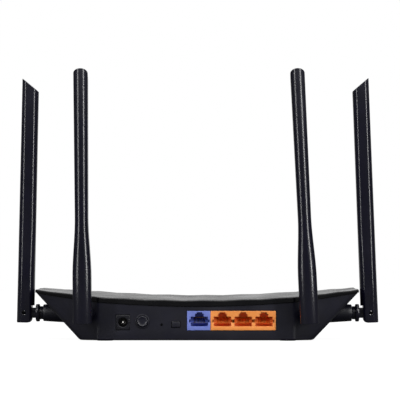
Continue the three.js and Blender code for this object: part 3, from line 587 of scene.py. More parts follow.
def sleeved_capacitor():
    """PVC sleeve of an electrolytic capacitor, with the bare aluminium top above its shoulder."""
    material, tree, shader, place = start_finish("sleeved_capacitor", "1d2740", 0.35, IOR=1.53)
    facing_up = add_node(tree, "NewGeometry").outputs["Normal"]
    upright = add_node(tree, "SeparateXYZ", {"Vector": facing_up})
    edges = {"Value": upright.outputs["Z"], "From Min": 0.9, "From Max": 0.95}
    bare = add_node(tree, "MapRange", edges).outputs["Result"]
    ramp = add_node(tree, "ValToRGB", {"Fac": bare})
    for stop, colour in zip(ramp.color_ramp.elements, ("1d2740", "c6c8ca")):
        stop.color = linear(colour)
    tree.links.new(ramp.outputs["Color"], shader.inputs["Base Color"])
    tree.links.new(bare, shader.inputs["Metallic"])
    add_grain(tree, shader, place, 0.9, 0.01)
    return material


def silicone_rubber():
    """Moulded silicone rubber of the feet: matt, slightly dusty grey-black."""
    material, tree, shader, place = start_finish("silicone_rubber", "29292b", 0.8, IOR=1.43)
    add_mottle(tree, shader, place, 2.5, ("262628", "333336"))
    add_grain(tree, shader, place, 0.5, 0.03)
    return material


def polyester_label():
    """Silvered polyester label stock: pale, even, a little glossy, with a faint orange peel."""
    material, tree, shader, place = start_finish("polyester_label", "d4d6d8", 0.38, IOR=1.57)
    add_mottle(tree, shader, place, 14, ("d0d2d4", "dadcde"))
    add_grain(tree, shader, place, 1.5, 0.01)
    return material


def clear_acrylic():
    """Cast acrylic of the light pipe: clear, with moulded-in haze that spreads the light."""
    values = {"IOR": 1.49, "Transmission_Weight": 0.85}
    material, tree, shader, place = start_finish("clear_acrylic", "e8edf0", 0.15, **values)
    add_patches(tree, shader, place, 2, (0.1, 0.24))
    add_grain(tree, shader, place, 1, 0.01)
    return material


def led_package():
    """White ceramic and silicone of an indicator diode, with its pale yellow phosphor."""
    material, tree, shader, place = start_finish("led_package", "e6e2cf", 0.45, IOR=1.5)
    add_mottle(tree, shader, place, 0.8, ("ece9da", "e3d9a6"))
    add_grain(tree, shader, place, 0.3, 0.01)
    return material


def turned_brass():
    """Turned brass tube of the antenna's radiator: warm, with fine rings about 0.5 mm apart."""
    material, tree, shader, place = start_finish("turned_brass", "b98f4e", 0.3, Metallic=1.0)
    rings = {"Vector": place, "Scale": per(0.5 * 2 * math.pi), "Distortion": 0.4}
    marks = add_node(tree, "TexWave", rings, bands_direction="Z")
    add_relief(tree, shader, marks.outputs["Fac"], 0.01, 0.8)
    return material


def coax_jacket():
    """Fluoropolymer jacket over braided screen: smooth dark grey with the braid's slight lumps."""
    material, tree, shader, place = start_finish("coax_jacket", "313338", 0.45, IOR=1.4)
    add_mottle(tree, shader, place, 2, ("2d2f34", "3a3c41"))
    add_grain(tree, shader, place, 0.6, 0.03)
    return material


casing_plastic = spark_eroded_abs()
cover_plastic = polished_abs()
antenna_plastic = satin_polycarbonate()
blue_plastic = socket_pbt("blue_pbt", ("7080ce", "7686d3"))
orange_plastic = socket_pbt("orange_pbt", ("fc9a4a", "ffa152"))
inlet_plastic = gloss_nylon()
black_steel = plated_metal("black_oxide_steel", "121214", 0.55, 0.4)
nickel = plated_metal("nickel_plate", "d6d4cf", 0.16, 0.5)
zinc = plated_metal("zinc_plate", "b9bcc0", 0.3, 0.4)
gold = plated_metal("hard_gold_plate", "d9a94a", 0.22, 0.3)
aluminium = extruded_aluminium()
shield_metal = tinned_steel()
board_mask = solder_mask()
chip_epoxy = epoxy_mould()
capacitor_sleeve = sleeved_capacitor()
foot_rubber = silicone_rubber()
label_film = polyester_label()
acrylic = clear_acrylic()
led_white = led_package()
brass = turned_brass()
lead_jacket = coax_jacket()

# ---------------------------------------------------------------- casing: outline and roof


def casing_sides(leaning):
    """Outward direction, reach and lean of each side of the casing, seen from above."""
    tip = Vector((half_width, -half_depth + FACET_RUN))
    panel_end = Vector((PANEL_WIDTH / 2, -half_depth))
    front_start = Vector((half_width, FRONT_CORNER.y))
    front_end = Vector((FRONT_CORNER.x, half_depth))
    lean = side_lean if leaning else 0
    sides = [(Vector((0, -1)), half_depth, 0), (Vector((0, 1)), half_depth, lean)]
    corners = [(panel_end, tip, 0), (tip, front_start, lean), (front_start, front_end, lean)]
    for start, end, tilt in corners:
        run = end - start
        normal = Vector((run.y, -run.x)).normalized()
        reach = start.dot(normal)
        sides.append((normal, reach, tilt))
        sides.append((Vector((-normal.x, normal.y)), reach, tilt))
    return sides


def is_upright(edge, rise):
    """Whether an edge climbs most of the way up a form."""
    return abs(edge.verts[0].co.z - edge.verts[1].co.z) > rise * 0.6


def casing_form(name, low, high, inset, leaning=True):
    """The casing's closed form between two heights, each side moved in by an inset."""
    room_to_cut = 1.6
    big = Vector((half_width, half_depth, 0)) * room_to_cut
    piece = block(name, (-big.x, -big.y, low), (big.x, big.y, high))
    start_edit(piece)
    for normal, reach, lean in casing_sides(leaning):
        outward = Vector((normal.x, normal.y, -lean))
        at = normal * (reach - inset * math.hypot(1, lean))
        bpy.ops.mesh.select_all(action="SELECT")
        bpy.ops.mesh.bisect(
            plane_co=(at.x, at.y, rim_level), plane_no=outward, use_fill=True, clear_outer=True
        )
    rise = high - low
    panel_edge = PANEL_WIDTH / 2 + 2 * inset + MM
    panel_line = -half_depth * 0.9

    def is_panel_corner(edge):
        near_panel = all(abs(v.co.x) < panel_edge and v.co.y < -half_depth / 2 for v in edge.verts)
        return is_upright(edge, rise) and near_panel

    def is_other_corner(edge):
        return is_upright(edge, rise) and not any(v.co.y < panel_line for v in edge.verts)

    bevel_edges(is_panel_corner, PANEL_ROUND, 4)
    bevel_edges(is_other_corner, TIP_ROUND, 8)
    end_edit()
    return settle(piece, Matrix.Translation(middle))


def roof_sheet(faceted):
    """A flat sheet wider than the casing: shallow diamonds, or a plain grid."""
    bpy.ops.object.select_all(action="DESELECT")
    if not faceted:
        bpy.ops.mesh.primitive_grid_add(x_subdivisions=32, y_subdivisions=4, size=2)
        sheet = named("roof_sheet")
        start_edit(sheet)
        spread = 1.1
        bpy.ops.transform.resize(
            value=(half_width * spread, half_depth * spread, 1), center_override=(0, 0, 0)
        )
        return sheet
    half_diagonal = math.sqrt(2)
    bpy.ops.mesh.primitive_grid_add(
        x_subdivisions=FACETS_ACROSS,
        y_subdivisions=FACETS_ACROSS,
        size=FACETS_ACROSS * half_diagonal,
        rotation=(0, 0, math.pi / 4),
    )
    sheet = named("roof_sheet")
    start_edit(sheet)
    bpy.ops.transform.resize(
        value=(FACET_HALF_WIDTH, FACET_HALF_LENGTH, 1), center_override=(0, 0, 0)
    )
    bpy.ops.transform.translate(value=(FACET_PHASE, 0, 0))
    bpy.ops.mesh.poke(offset=FACET_RISE)
    return sheet


def places_along(axis):
    """The different distances along an axis at which the open piece has vertices."""
    shape = bmesh.from_edit_mesh(bpy.context.edit_object.data)
    return sorted({round(v.co[axis], 6) for v in shape.verts})


def roof_block(name, drop_middle=0, drop_tip=0, faceted=False):
    """Everything under the roof, or under the roof lowered by a drop that changes towards the tips."""
    block_piece = roof_sheet(faceted)
    shape = bmesh.from_edit_mesh(bpy.context.edit_object.data)
    relief = {vertex.index: vertex.co.z for vertex in shape.verts}
    bpy.ops.mesh.select_all(action="SELECT")
    bpy.ops.transform.resize(value=(1, 1, 0), center_override=(0, 0, 0))
    for x in places_along(0):
        select_where("verts", lambda v: abs(v.co.x - x) < CLOSE)
        bpy.ops.transform.translate(value=(0, 0, (x / half_width) ** 2))
    for y in places_along(1):
        share = (y + half_depth) / (2 * half_depth)
        dip = DIP_REAR + (DIP_FRONT - DIP_REAR) * share - (drop_tip - drop_middle)
        height = ROOF_REAR + (ROOF_FRONT - ROOF_REAR) * share - drop_middle
        select_where("verts", lambda v: abs(v.co.y - y) < CLOSE)
        bpy.ops.transform.resize(value=(1, 1, dip), center_override=(0, 0, 0))
        bpy.ops.transform.translate(value=(0, 0, height))
    raised = max(relief.values()) / 2
    select_where("verts", lambda v: raised > 0 and relief[v.index] > raised)
    bpy.ops.transform.translate(value=(0, 0, FACET_RISE))
    bpy.ops.mesh.select_all(action="SELECT")
    bpy.ops.mesh.extrude_region_move(TRANSFORM_OT_translate={"value": (0, 0, -2 * above_all)})
    bpy.ops.transform.resize(value=(1, 1, 0), center_override=(0, 0, below_all))
    end_edit()
    block_piece.name = name
    return settle(block_piece, Matrix.Translation(middle))


# ---------------------------------------------------------------- top cover


def top_cover():
    """Faceted roof with its edge band, two screw bosses and a row of light windows."""
    cover = casing_form("top_cover_shell", 0, above_all, 0, leaning=False)
    combine(cover, roof_block("roof", faceted=True), "INTERSECT")
    inside = casing_form("inside", -MM, above_all, WALL, leaning=False)
    combine(inside, roof_block("ceiling", WALL, WALL), "INTERSECT")
    combine(cover, inside)
    combine(cover, roof_block("rim", RIM_MIDDLE, RIM_TIP))
    slivers = 0.02 * MM
    start_edit(cover)
    bpy.ops.mesh.remove_doubles(threshold=slivers)

    def is_rim(edge):
        if len(edge.link_faces) != 2:
            return False
        up = sorted(abs(face.normal.z) for face in edge.link_faces)
        outside = all(face.normal.z > -0.5 for face in edge.link_faces)
        return up[0] < 0.2 and up[1] > 0.9 and outside

    bevel_edges(is_rim, RIM_ROUND, 3)
    end_edit()
    for at in case_screws:
        combine(cover, upright("boss", at, CASE_BOSS_TOP + GAP, ROOF_REAR, COVER_BOSS_RADIUS), "UNION")
        drill(cover, at, 0, SCREW_SEAT + SCREW_HOLE_DEPTH, SCREW_RADIUS + GAP, 24)
    reach = Vector((WINDOW_WIDTH / 2 + GAP, WINDOW_DEPTH / 2 + GAP, 0))
    under_roof = 20 * MM
    for index in (1, 2, 3, 4):
        at = middle_of(f"led_{index}")
        low, high = at - reach, at + reach
        combine(cover, block("window", (low.x, low.y, under_roof), (high.x, high.y, above_all)))
    facet_angle = 1.2
    return smooth(cover, facet_angle)


mount(painted(top_cover(), cover_plastic), "case", "cover", "top_cover")

# ---------------------------------------------------------------- lower case


def hinge_frame(name):
    """A hinge's own directions and its two pivots: X away from the casing, Y along the pin."""
    boss_end = Vector(joints[f"swivel_{name}"]["pos_m"])
    pin = Vector(joints[f"fold_{name}"]["pos_m"])
    outward = (pin - boss_end).normalized()
    along = Vector(joints[f"fold_{name}"]["axis"]).normalized()
    turn = Matrix((outward, along, outward.cross(along))).transposed().to_4x4()
    return boss_end, pin, outward, turn


def boss_root(name, boss_end, outward):
    """Where a hinge boss starts inside the wall: one clearance from the knuckle's snap ring."""
    low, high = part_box(f"hinge_knuckle_{name}")
    tail = min((low - boss_end).dot(outward), (high - boss_end).dot(outward))
    return boss_end + outward * (tail + SNAP_LENGTH + GAP)


def lower_case():
    """Tub with leaning walls, four hinge bosses, panel cut-outs, vents and screw posts."""
    case = casing_form("bottom_case_shell", base_z, above_all, RIM_OVERHANG)
    start_edit(case)
    bevel_edges(lambda e: all(abs(v.co.z - base_z) < CLOSE for v in e.verts), BASE_ROUND, 4)
    end_edit()
    combine(case, casing_form("hollow", floor_top, 2 * above_all, RIM_OVERHANG + WALL))

    for name in HINGES:
        boss_end, _, outward, _ = hinge_frame(name)
        root = boss_root(name, boss_end, outward)
        length = (boss_end - root).length
        draft = 0.15 * MM
        taper_end = 3 * MM
        stations = [
            (BOSS_ROOT_RADIUS, 0),
            (BOSS_RADIUS + draft, length - taper_end),
            (BOSS_RADIUS, length - BOSS_EDGE),
            (BOSS_RADIUS - draft, length - draft),
            (BOSS_RADIUS - BOSS_EDGE, length),
        ]
        combine(case, turned("boss", stations, facing(root, outward)), "UNION")
    for at in board_screws:
        standoff = upright("standoff", at, in_floor, board_low.z - GAP, STANDOFF_RADIUS, 32)
        combine(case, standoff, "UNION")
    for at in case_screws:
        combine(case, upright("post", at, in_floor, CASE_BOSS_TOP, CASE_BOSS_RADIUS, 32), "UNION")

    ring_root = 0.5 * MM  # how deep the ring starts in the panel
    ring = [
        (POWER_RING_RADIUS, 0),
        (POWER_RING_RADIUS, POWER_RING_PROUD + 0.2 * MM),
        (POWER_RING_RADIUS - 0.12 * MM, POWER_RING_PROUD + 0.42 * MM),
        (POWER_RING_RADIUS - 0.35 * MM, POWER_RING_PROUD + ring_root),
    ]
    ring_place = facing((power_centre.x, panel_y + ring_root, power_centre.z), -Y)
    combine(case, turned("ring", ring, ring_place), "UNION")
    combine(case, roof_block("parting", RIM_MIDDLE + GAP, RIM_TIP + GAP), "INTERSECT")
    return case


def panel_cutter(low, high, lip=0.0):
    """A cutter through the rear panel, one clearance round a piece without its hidden lip."""
    inside = lip - GAP
    near = (low.x + inside, cutter_near, low.z - GAP)
    return block("cutter", near, (high.x - inside, cutter_far, high.z + GAP))


def panel_drill(case, at, radius, sides=48):
    """Bores a round hole through the rear panel."""
    near, far = (at.x, cutter_near, at.z), (at.x, cutter_far, at.z)
    return combine(case, bar("drill", near, far, radius, sides=sides))


def cut_lower_case(case):
    """Hinge bores, panel openings, vents, keyholes, screw wells and recesses."""
    for name in HINGES:
        boss_end, _, outward, _ = hinge_frame(name)
        root = boss_root(name, boss_end, outward)
        combine(case, bar("bore", root - outward * MM, boss_end + outward * MM, SHAFT_RADIUS + GAP))
    sockets_low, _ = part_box("wan_jack")
    _, sockets_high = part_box("lan_jack")
    combine(case, panel_cutter(sockets_low, sockets_high))
    combine(case, panel_cutter(*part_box("power_inlet")))
    combine(case, panel_cutter(*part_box("wps_button"), KEY_FLANGE))
    panel_drill(case, power_centre, POWER_RADIUS + GAP)
    panel_drill(case, middle_of("reset_plunger"), RESET_HOLE, 32)

    slots = []
    for from_rear in VENT_ROWS:
        for index in range(VENTS):
            x = middle.x + (index - (VENTS - 1) / 2) * VENT_PITCH
            y = panel_y + from_rear
            low = (x - VENT_WIDTH / 2, y, 0)
            slots.append(block("slot", low, (x + VENT_WIDTH / 2, y + VENT_LENGTH, through_floor)))
    combine(case, joined("slots", slots))

    for side in (-1, 1):
        x = middle.x + side * KEYHOLE_X
        y = base_front - KEYHOLE_FROM_FRONT
        end = y + KEYHOLE_RUN
        drill(case, Vector((x, y)), 0, through_floor, KEYHOLE_HEAD)
        drill(case, Vector((x, end)), 0, through_floor, KEYHOLE_SLOT, 32)
        slot_high = (x + KEYHOLE_SLOT, end, through_floor)
        combine(case, block("keyhole", (x - KEYHOLE_SLOT, y, 0), slot_high))
    for index in (1, 2, 3, 4):
        low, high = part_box(f"foot_{index}")
        radius = (high.x - low.x) / 2 + GAP
        drill(case, (low + high) / 2, 0, base_z + FOOT_SINK, radius)
    for at in case_screws:
        drill(case, at, 0, SCREW_SEAT, SCREW_HEAD_RADIUS + GAP)
        drill(case, at, 0, CASE_BOSS_TOP + MM, SCREW_RADIUS + GAP, 24)
    for at in board_screws:
        drill(case, at, in_floor, board_high.z, SCREW_RADIUS + GAP, 24)
    label_low, label_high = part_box("rating_label")
    margin = Vector((GAP, GAP, 0))
    low, high = label_low - margin, label_high + margin
    combine(case, block("recess", (low.x, low.y, 0), (high.x, high.y, high.z + GAP)))
    return smooth(case, 30)


mount(painted(cut_lower_case(lower_case()), casing_plastic), "case", "case", "bottom_case")

# ---------------------------------------------------------------- network sockets


def socket_block(name, node, contact_nodes):
    """A socket body: each port has a stepped latch notch, side notches and a sloped contact shelf."""
    low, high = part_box(node)
    body = block(name, low, high)
    lap = 0.5 * MM  # how far one shape reaches into the next
    front, back = low.y - MM, low.y + PORT_DEPTH
    sill = low.z + PORT_SILL
    top = sill + PORT_HEIGHT
    latch_lap = 0.2 * MM
    shelf_bottom = sill + BED_LIFT - 0.6 * MM
    for contacts in contact_nodes:
        x = middle_of(contacts).x
        half = PORT_WIDTH / 2
        shapes = [(half, sill, top)]
        shapes += [(half_latch, top - latch_lap, top + rise) for half_latch, rise in LATCH]
        shapes += [(half + EAR[0], sill + EAR[1], sill + EAR[2])]
        for reach, bottom, upper in shapes:
            combine(body, block("port", (x - reach, front, bottom), (x + reach, back, upper)))
        bed_low = (x - half - lap, back - CONTACT_RUN, shelf_bottom)
        bed = block("bed", bed_low, (x + half + lap, back + lap, top + MM))
        start_edit(bed)
        slope = Vector((0, BED_LIFT - BED_TOP, CONTACT_RUN)).normalized()
        nose = (x, back - CONTACT_RUN, sill + BED_LIFT)
        bpy.ops.mesh.bisect(
            plane_co=nose, plane_no=slope, use_fill=True, clear_outer=True, threshold=1e-6
        )
        end_edit()
        combine(body, bed, "UNION")
    soften(body, SOCKET_EDGE, 2, 50)
    return smooth(body, 40)


def contact_set(name, node):
    """Eight sprung contact wires lying on the sloped shelf, and the bar that joins them at the back."""
    low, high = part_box(node)
    radius = CONTACT_RADIUS
    x = (low.x + high.x) / 2 - (CONTACTS - 1) / 2 * CONTACT_PITCH
    rise = (BED_TOP - BED_LIFT) / CONTACT_RUN
    run = high.y - low.y - MM
    in_holder = 0.4 * MM
    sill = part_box("lan_jack")[0].z + PORT_SILL
    start = Vector((x, high.y - run, sill + BED_LIFT + (CONTACT_RUN - run) * rise))
    end = Vector((x, high.y - in_holder, start.z + (run - in_holder) * rise))
    wire = bar(name, start, end, radius, sides=12)
    row = wire.modifiers.new("row", "ARRAY")
    row.count = CONTACTS
    row.use_relative_offset = False
    row.use_constant_offset = True
    row.constant_offset_displace = (CONTACT_PITCH, 0, 0)
    make_active(wire)
    bpy.ops.object.modifier_apply(modifier=row.name)
    painted(wire, gold)
    holder_low = (low.x, high.y - 0.6 * MM, high.z - 0.5 * MM)
    holder = soften(block("holder", holder_low, high), SOCKET_EDGE)
    painted(holder, gold)
    return smooth(joined(name, [wire, holder]), 40)


lan_contacts = [f"lan_contacts_{index}" for index in (1, 2, 3)]
wan_socket = socket_block("wan_socket", "wan_jack", ["wan_contacts"])
mount(painted(wan_socket, blue_plastic), "case", "blue", "wan_jack")
lan_socket = socket_block("lan_socket", "lan_jack", lan_contacts)
mount(painted(lan_socket, orange_plastic), "case", "orange", "lan_jack")
for contacts in ["wan_contacts"] + lan_contacts:
    mount(contact_set(f"{contacts}_wires", contacts), "case", "gold", contacts)

# ---------------------------------------------------------------- power inlet


def inlet_housing():
    """Square inlet body with a round bore whose mouth is dished."""
    low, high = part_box("power_inlet")
    centre = Vector(((low.x + high.x) / 2, low.y, (low.z + high.z) / 2))
    body = soften(block("power_inlet_housing", low, high), INLET_EDGE, 3)
    mouth = [
        (INLET_BORE + 0.5 * MM, -MM),
        (INLET_BORE + 0.5 * MM, 0),
        (INLET_BORE + 0.1 * MM, 0.3 * MM),
        (INLET_BORE, 0.7 * MM),
        (INLET_BORE, INLET_BORE_DEPTH),
    ]
    combine(body, turned("mouth", mouth, facing(centre, Y)))
    back = centre + Y * (high.y - low.y + MM)
    combine(body, bar("pin_hole", centre, back, INLET_PIN_RADIUS + GAP, sides=32))
    return smooth(body)


def inlet_pin():
    """Turned centre pin with a rounded nose and a riveted back."""
    low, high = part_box("power_inlet_pin")
    length = high.y - low.y
    rivet = (high.x - low.x) / 2
    nose = [(math.sin(a) * INLET_PIN_RADIUS, (1 - math.cos(a)) * INLET_PIN_RADIUS)
            for a in (math.radians(15 * step) for step in range(1, 7))]
    stations = nose + [
        (INLET_PIN_RADIUS, length - RIVET_LENGTH),
        (rivet, length - RIVET_LENGTH),
        (rivet, length - RIVET_EDGE),
        (rivet - RIVET_EDGE, length),
    ]
    start = Vector(((low.x + high.x) / 2, low.y, (low.z + high.z) / 2))
    return smooth(turned("power_inlet_centre_pin", stations, facing(start, Y), sides=40))


mount(painted(inlet_housing(), inlet_plastic), "case", "component", "power_inlet")
mount(painted(inlet_pin(), nickel), "case", "steel", "power_inlet_pin")

# ---------------------------------------------------------------- buttons


def power_cap():
    """Round push button: shallow dish, full round rim, hidden flange and stem."""
    low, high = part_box("power_button")
    flange = (high.x - low.x) / 2
    flange_at = panel_inside + GAP - low.y
    flange_end = flange_at + FLANGE_THICK
    radius = POWER_RADIUS
    stations = [
        (1.2 * MM, 0.42 * MM),
        (2.2 * MM, 0.36 * MM),
        (radius - 1.25 * MM, 0.2 * MM),
        (radius - 0.95 * MM, 0.05 * MM),
        (radius - 0.75 * MM, 0),
        (radius - 0.45 * MM, 0.1 * MM),
        (radius - 0.18 * MM, 0.32 * MM),
        (radius - 0.04 * MM, 0.62 * MM),
        (radius, 0.95 * MM),
        (radius, flange_at),
        (flange, flange_at),
        (flange, flange_end),
        (STEM_RADIUS, flange_end),
        (STEM_RADIUS, high.y - low.y),
    ]
    start = Vector((power_centre.x, low.y, power_centre.z))
    return smooth(turned("power_cap", stations, facing(start, Y)), 40)


def wps_key():
    """Small oblong key with rounded corners, its hidden flange and stem."""
    low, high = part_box("wps_button")
    face_low = (low.x + KEY_FLANGE, low.y, low.z)
    key = block("wps_key", face_low, (high.x - KEY_FLANGE, panel_inside + MM, high.z))
    soften(key, KEY_ROUND, 4)
    flange_low = (low.x, panel_inside + GAP, low.z)
    combine(key, block("flange", flange_low, (high.x, panel_inside + GAP + MM, high.z)), "UNION")
    at = (low + high) / 2
    stem_start = (at.x, panel_inside + 0.5 * MM, at.z)
    combine(key, bar("stem", stem_start, (at.x, high.y, at.z), STEM_RADIUS, sides=32), "UNION")
    return smooth(key)


mount(painted(power_cap(), casing_plastic), "power_button", "case", "power_button")
mount(painted(wps_key(), casing_plastic), "wps_button", "case", "wps_button")

# ---------------------------------------------------------------- hinge knuckles, pins and antennas


def knuckle(name):
    """Turned shaft, neck and collar with the flat tongue that the pin goes through."""
    boss_end, pin, outward, turn = hinge_frame(name)
    low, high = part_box(f"hinge_knuckle_{name}")
    tail = -min((low - boss_end).dot(outward), (high - boss_end).dot(outward))
    collar_back = GAP + NECK_LENGTH
    collar_face = collar_back + COLLAR_LENGTH
    reach = (pin - boss_end).length
    stations = [
        (SNAP_RADIUS - SNAP_LEAD, -tail),
        (SNAP_RADIUS, -tail + SNAP_LEAD),
        (SNAP_RADIUS, -tail + SNAP_LENGTH),
        (SHAFT_RADIUS, -tail + SNAP_LENGTH),
        (SHAFT_RADIUS, GAP),
        (NECK_RADIUS, GAP),
        (NECK_RADIUS, collar_back),
        (COLLAR_RADIUS - COLLAR_ROUND, collar_back),
        (COLLAR_RADIUS - COLLAR_SHOULDER, collar_back + COLLAR_SHOULDER),
        (COLLAR_RADIUS, collar_back + COLLAR_ROUND),
        (COLLAR_RADIUS, collar_face - COLLAR_ROUND),
        (COLLAR_RADIUS - COLLAR_SHOULDER, collar_face - COLLAR_SHOULDER),
        (COLLAR_RADIUS - COLLAR_ROUND, collar_face),
    ]
    piece = turned(f"knuckle_{name}", stations, facing((0, 0, 0), X))
    half, wide = TONGUE_HEIGHT / 2, TONGUE_WIDTH / 2
    tongue = bar("tongue", (reach, -wide, 0), (reach, wide, 0), half)
    start_edit(tongue)
    select_where("verts", lambda v: v.co.x < reach - 0.1 * MM)
    bpy.ops.transform.translate(value=(collar_face - MM - reach, 0, 0))
    end_edit()
    combine(piece, soften(tongue, TONGUE_ROUND, 2, 60), "UNION")
    combine(piece, bar("bore", (-tail - MM, 0, 0), (GAP, 0, 0), SHAFT_BORE, sides=32))
    pin_hole = PIN_RADIUS + GAP
    combine(piece, bar("pin_hole", (reach, -2 * wide, 0), (reach, 2 * wide, 0), pin_hole, sides=32))
    return smooth(settle(piece, Matrix.Translation(boss_end) @ turn))


def antenna_place(name):
    """Where an antenna stands: its origin on the pin, leaning as it does at rest."""
    _, pin, _, turn = hinge_frame(name)
    lean = math.radians(ANTENNA_LEAN.get(name, 0))
    return Matrix.Translation(pin) @ turn @ Matrix.Rotation(lean, 4, "Y")


def half_sizes(height):
    """Half the depth and half the width of the antenna at a height above its bottom."""
    share = min(max((height - FOOT_END) / (WAIST_AT - FOOT_END), 0), 1)
    share = share * share * (3 - 2 * share)
    flare = max(0, (height - WAIST_AT) / (ANTENNA_LENGTH - WAIST_AT))
    wide = WIDE_FOOT - (WIDE_FOOT - WIDE_WAIST) * share + (WIDE_TOP - WIDE_WAIST) * flare
    deep = DEEP_FOOT + (DEEP_TOP - DEEP_FOOT) * height / ANTENNA_LENGTH
    return deep / 2, wide / 2


def antenna_blank(name):
    """A round section split into two crowned halves and drawn up through the waist to the top."""
    sides = 96
    bpy.ops.object.select_all(action="DESELECT")
    bpy.ops.mesh.primitive_circle_add(
        vertices=sides, radius=1, fill_type="NGON", rotation=(0, 0, math.pi / sides)
    )
    piece = named(name)
    deep, wide = half_sizes(0)
    start_edit(piece)
    bpy.ops.transform.resize(value=(CROWN, wide, 1), center_override=(0, 0, 0))
    for side in (-1, 1):
        select_where("verts", lambda v: v.co.x * side > 0)
        bpy.ops.transform.translate(value=(side * (deep - CROWN), 0, 0))
    bpy.ops.mesh.select_all(action="SELECT")
    taper_steps = 12
    taper = WAIST_AT - FOOT_END
    heights = [FOOT_END + taper * step / taper_steps for step in range(taper_steps + 1)]
    before = 0
    for height in heights + [ANTENNA_LENGTH]:
        next_deep, next_wide = half_sizes(height)
        draw_out(height - before, (next_deep / deep, next_wide / wide), height)
        deep, wide, before = next_deep, next_wide, height
    bpy.ops.mesh.select_all(action="SELECT")
    bpy.ops.transform.translate(value=(-ANTENNA_OFFSET, 0, -ANTENNA_BELOW_PIN))
    end_edit()
    return piece


def antenna(name):
    """Hollow shell: slanted top, rounded foot, and a step and a slot that clear the hinge."""
    piece = antenna_blank(f"antenna_shell_{name}")
    bottom = -ANTENNA_BELOW_PIN
    top = ANTENNA_LENGTH - ANTENNA_BELOW_PIN
    far = DEEP_FOOT / 2 - ANTENNA_OFFSET
    near = -DEEP_FOOT / 2 - ANTENNA_OFFSET
    start_edit(piece)
    slant = (-math.sin(TOP_SLANT), 0, math.cos(TOP_SLANT))
    bpy.ops.mesh.bisect(plane_co=(far, 0, top), plane_no=slant, use_fill=True, clear_outer=True)
    cut_low = top - DEEP_FOOT * math.tan(TOP_SLANT) - MM

    def is_top_rim(edge):
        flat = [face.normal.z > 0.7 for face in edge.link_faces]
        return any(flat) and not all(flat) and all(v.co.z > cut_low for v in edge.verts)

    bevel_edges(is_top_rim, TOP_RIM_ROUND, 3)
    bevel_edges(lambda e: all(abs(v.co.z - bottom) < CLOSE for v in e.verts), FOOT_RIM_ROUND, 3)
    end_edit()

    wide = WIDE_FOOT
    stepped = near + HINGE_STEP
    step = block("step", (near - MM, -wide, bottom - MM), (stepped, wide, HINGE_STEP_TOP))
    combine(piece, step)
    corner_low = (stepped - MM, -wide, bottom - MM)
    corner_high = (stepped + INNER_ROUND, wide, bottom + INNER_ROUND)
    corner = block("corner", corner_low, corner_high)
    centre = (stepped + INNER_ROUND, -2 * wide, bottom + INNER_ROUND)
    centre_end = (centre[0], 2 * wide, centre[2])
    combine(corner, bar("round", centre, centre_end, INNER_ROUND, sides=64))
    combine(piece, corner)

    room = TONGUE_HEIGHT / 2 + GAP
    slot = TONGUE_WIDTH / 2 + GAP
    slot_cutter = block("slot", (near - MM, -slot, bottom - MM), (0, slot, room))
    combine(slot_cutter, bar("slot_end", (0, -slot, 0), (0, slot, 0), room), "UNION")
    combine(piece, slot_cutter)
    lower_cutter = block("slot", (-DEEP_FOOT, -slot, bottom - MM), (room, slot, 0))
    combine(piece, lower_cutter)
    combine(piece, bar("pin_hole", (0, -wide, 0), (0, wide, 0), PIN_RADIUS + GAP, sides=32))
    bore_top = top - DEEP_FOOT * math.tan(TOP_SLANT) - BORE_SHORT
    bore_end = (-ANTENNA_OFFSET, 0, bore_top)
    combine(piece, bar("bore", (-ANTENNA_OFFSET, 0, 0), bore_end, ANTENNA_BORE, sides=32))
    return smooth(settle(piece, antenna_place(name)), 25)


def pivot_pin(name):
    """Plated hinge pin with slightly domed ends."""
    half = WIDE_FOOT / 2 - PIN_SINK
    dome = [(PIN_RADIUS * 0.45, -half), (PIN_RADIUS * 0.8, -half + 0.08 * MM)]
    dome.append((PIN_RADIUS, -half + 0.3 * MM))
    stations = dome + [(radius, -distance) for radius, distance in reversed(dome)]
    pin = turned(f"pivot_pin_{name}", stations, facing((0, 0, 0), Y), sides=32)
    return smooth(settle(pin, antenna_place(name)))


for hinge in HINGES:
    swivel = painted(knuckle(hinge), antenna_plastic)
    mount(swivel, f"knuckle_{hinge}", "antenna", f"hinge_knuckle_{hinge}")
    shell = painted(antenna(hinge), antenna_plastic)
    mount(shell, f"antenna_{hinge}", "antenna", f"antenna_{hinge}")
    axle = painted(pivot_pin(hinge), black_steel)
    mount(axle, f"antenna_{hinge}", "steel", f"hinge_pin_{hinge}")

# ---------------------------------------------------------------- feet and label


def foot(index):
    """Round rubber foot with a soft lower edge and a shallow dish underneath."""
    low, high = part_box(f"foot_{index}")
    radius = (high.x - low.x) / 2
    stations = [
        (radius * 0.55, 0.15 * MM),
        (radius * 0.75, 0),
        (radius - 0.7 * MM, 0),
        (radius - 0.25 * MM, 0.15 * MM),
        (radius, 0.6 * MM),
        (radius, high.z - low.z),
    ]
    start = Vector(((low.x + high.x) / 2, (low.y + high.y) / 2, low.z))
    return smooth(turned(f"rubber_foot_{index}", stations, facing(start, Z), sides=48))


for index in (1, 2, 3, 4):
    mount(painted(foot(index), foot_rubber), "case", "rubber", f"foot_{index}")


def blank_label():
    """Thin label with rounded corners and nothing printed on it."""
    low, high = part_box("rating_label")
    label = block("blank_label", low, high)
    start_edit(label)
    bevel_edges(lambda e: is_upright(e, high.z - low.z), LABEL_CORNER, 6)
    end_edit()
    return smooth(label)


mount(painted(blank_label(), label_film), "case", "paper", "rating_label")

# ---------------------------------------------------------------- finishes of the CAD nodes that stay

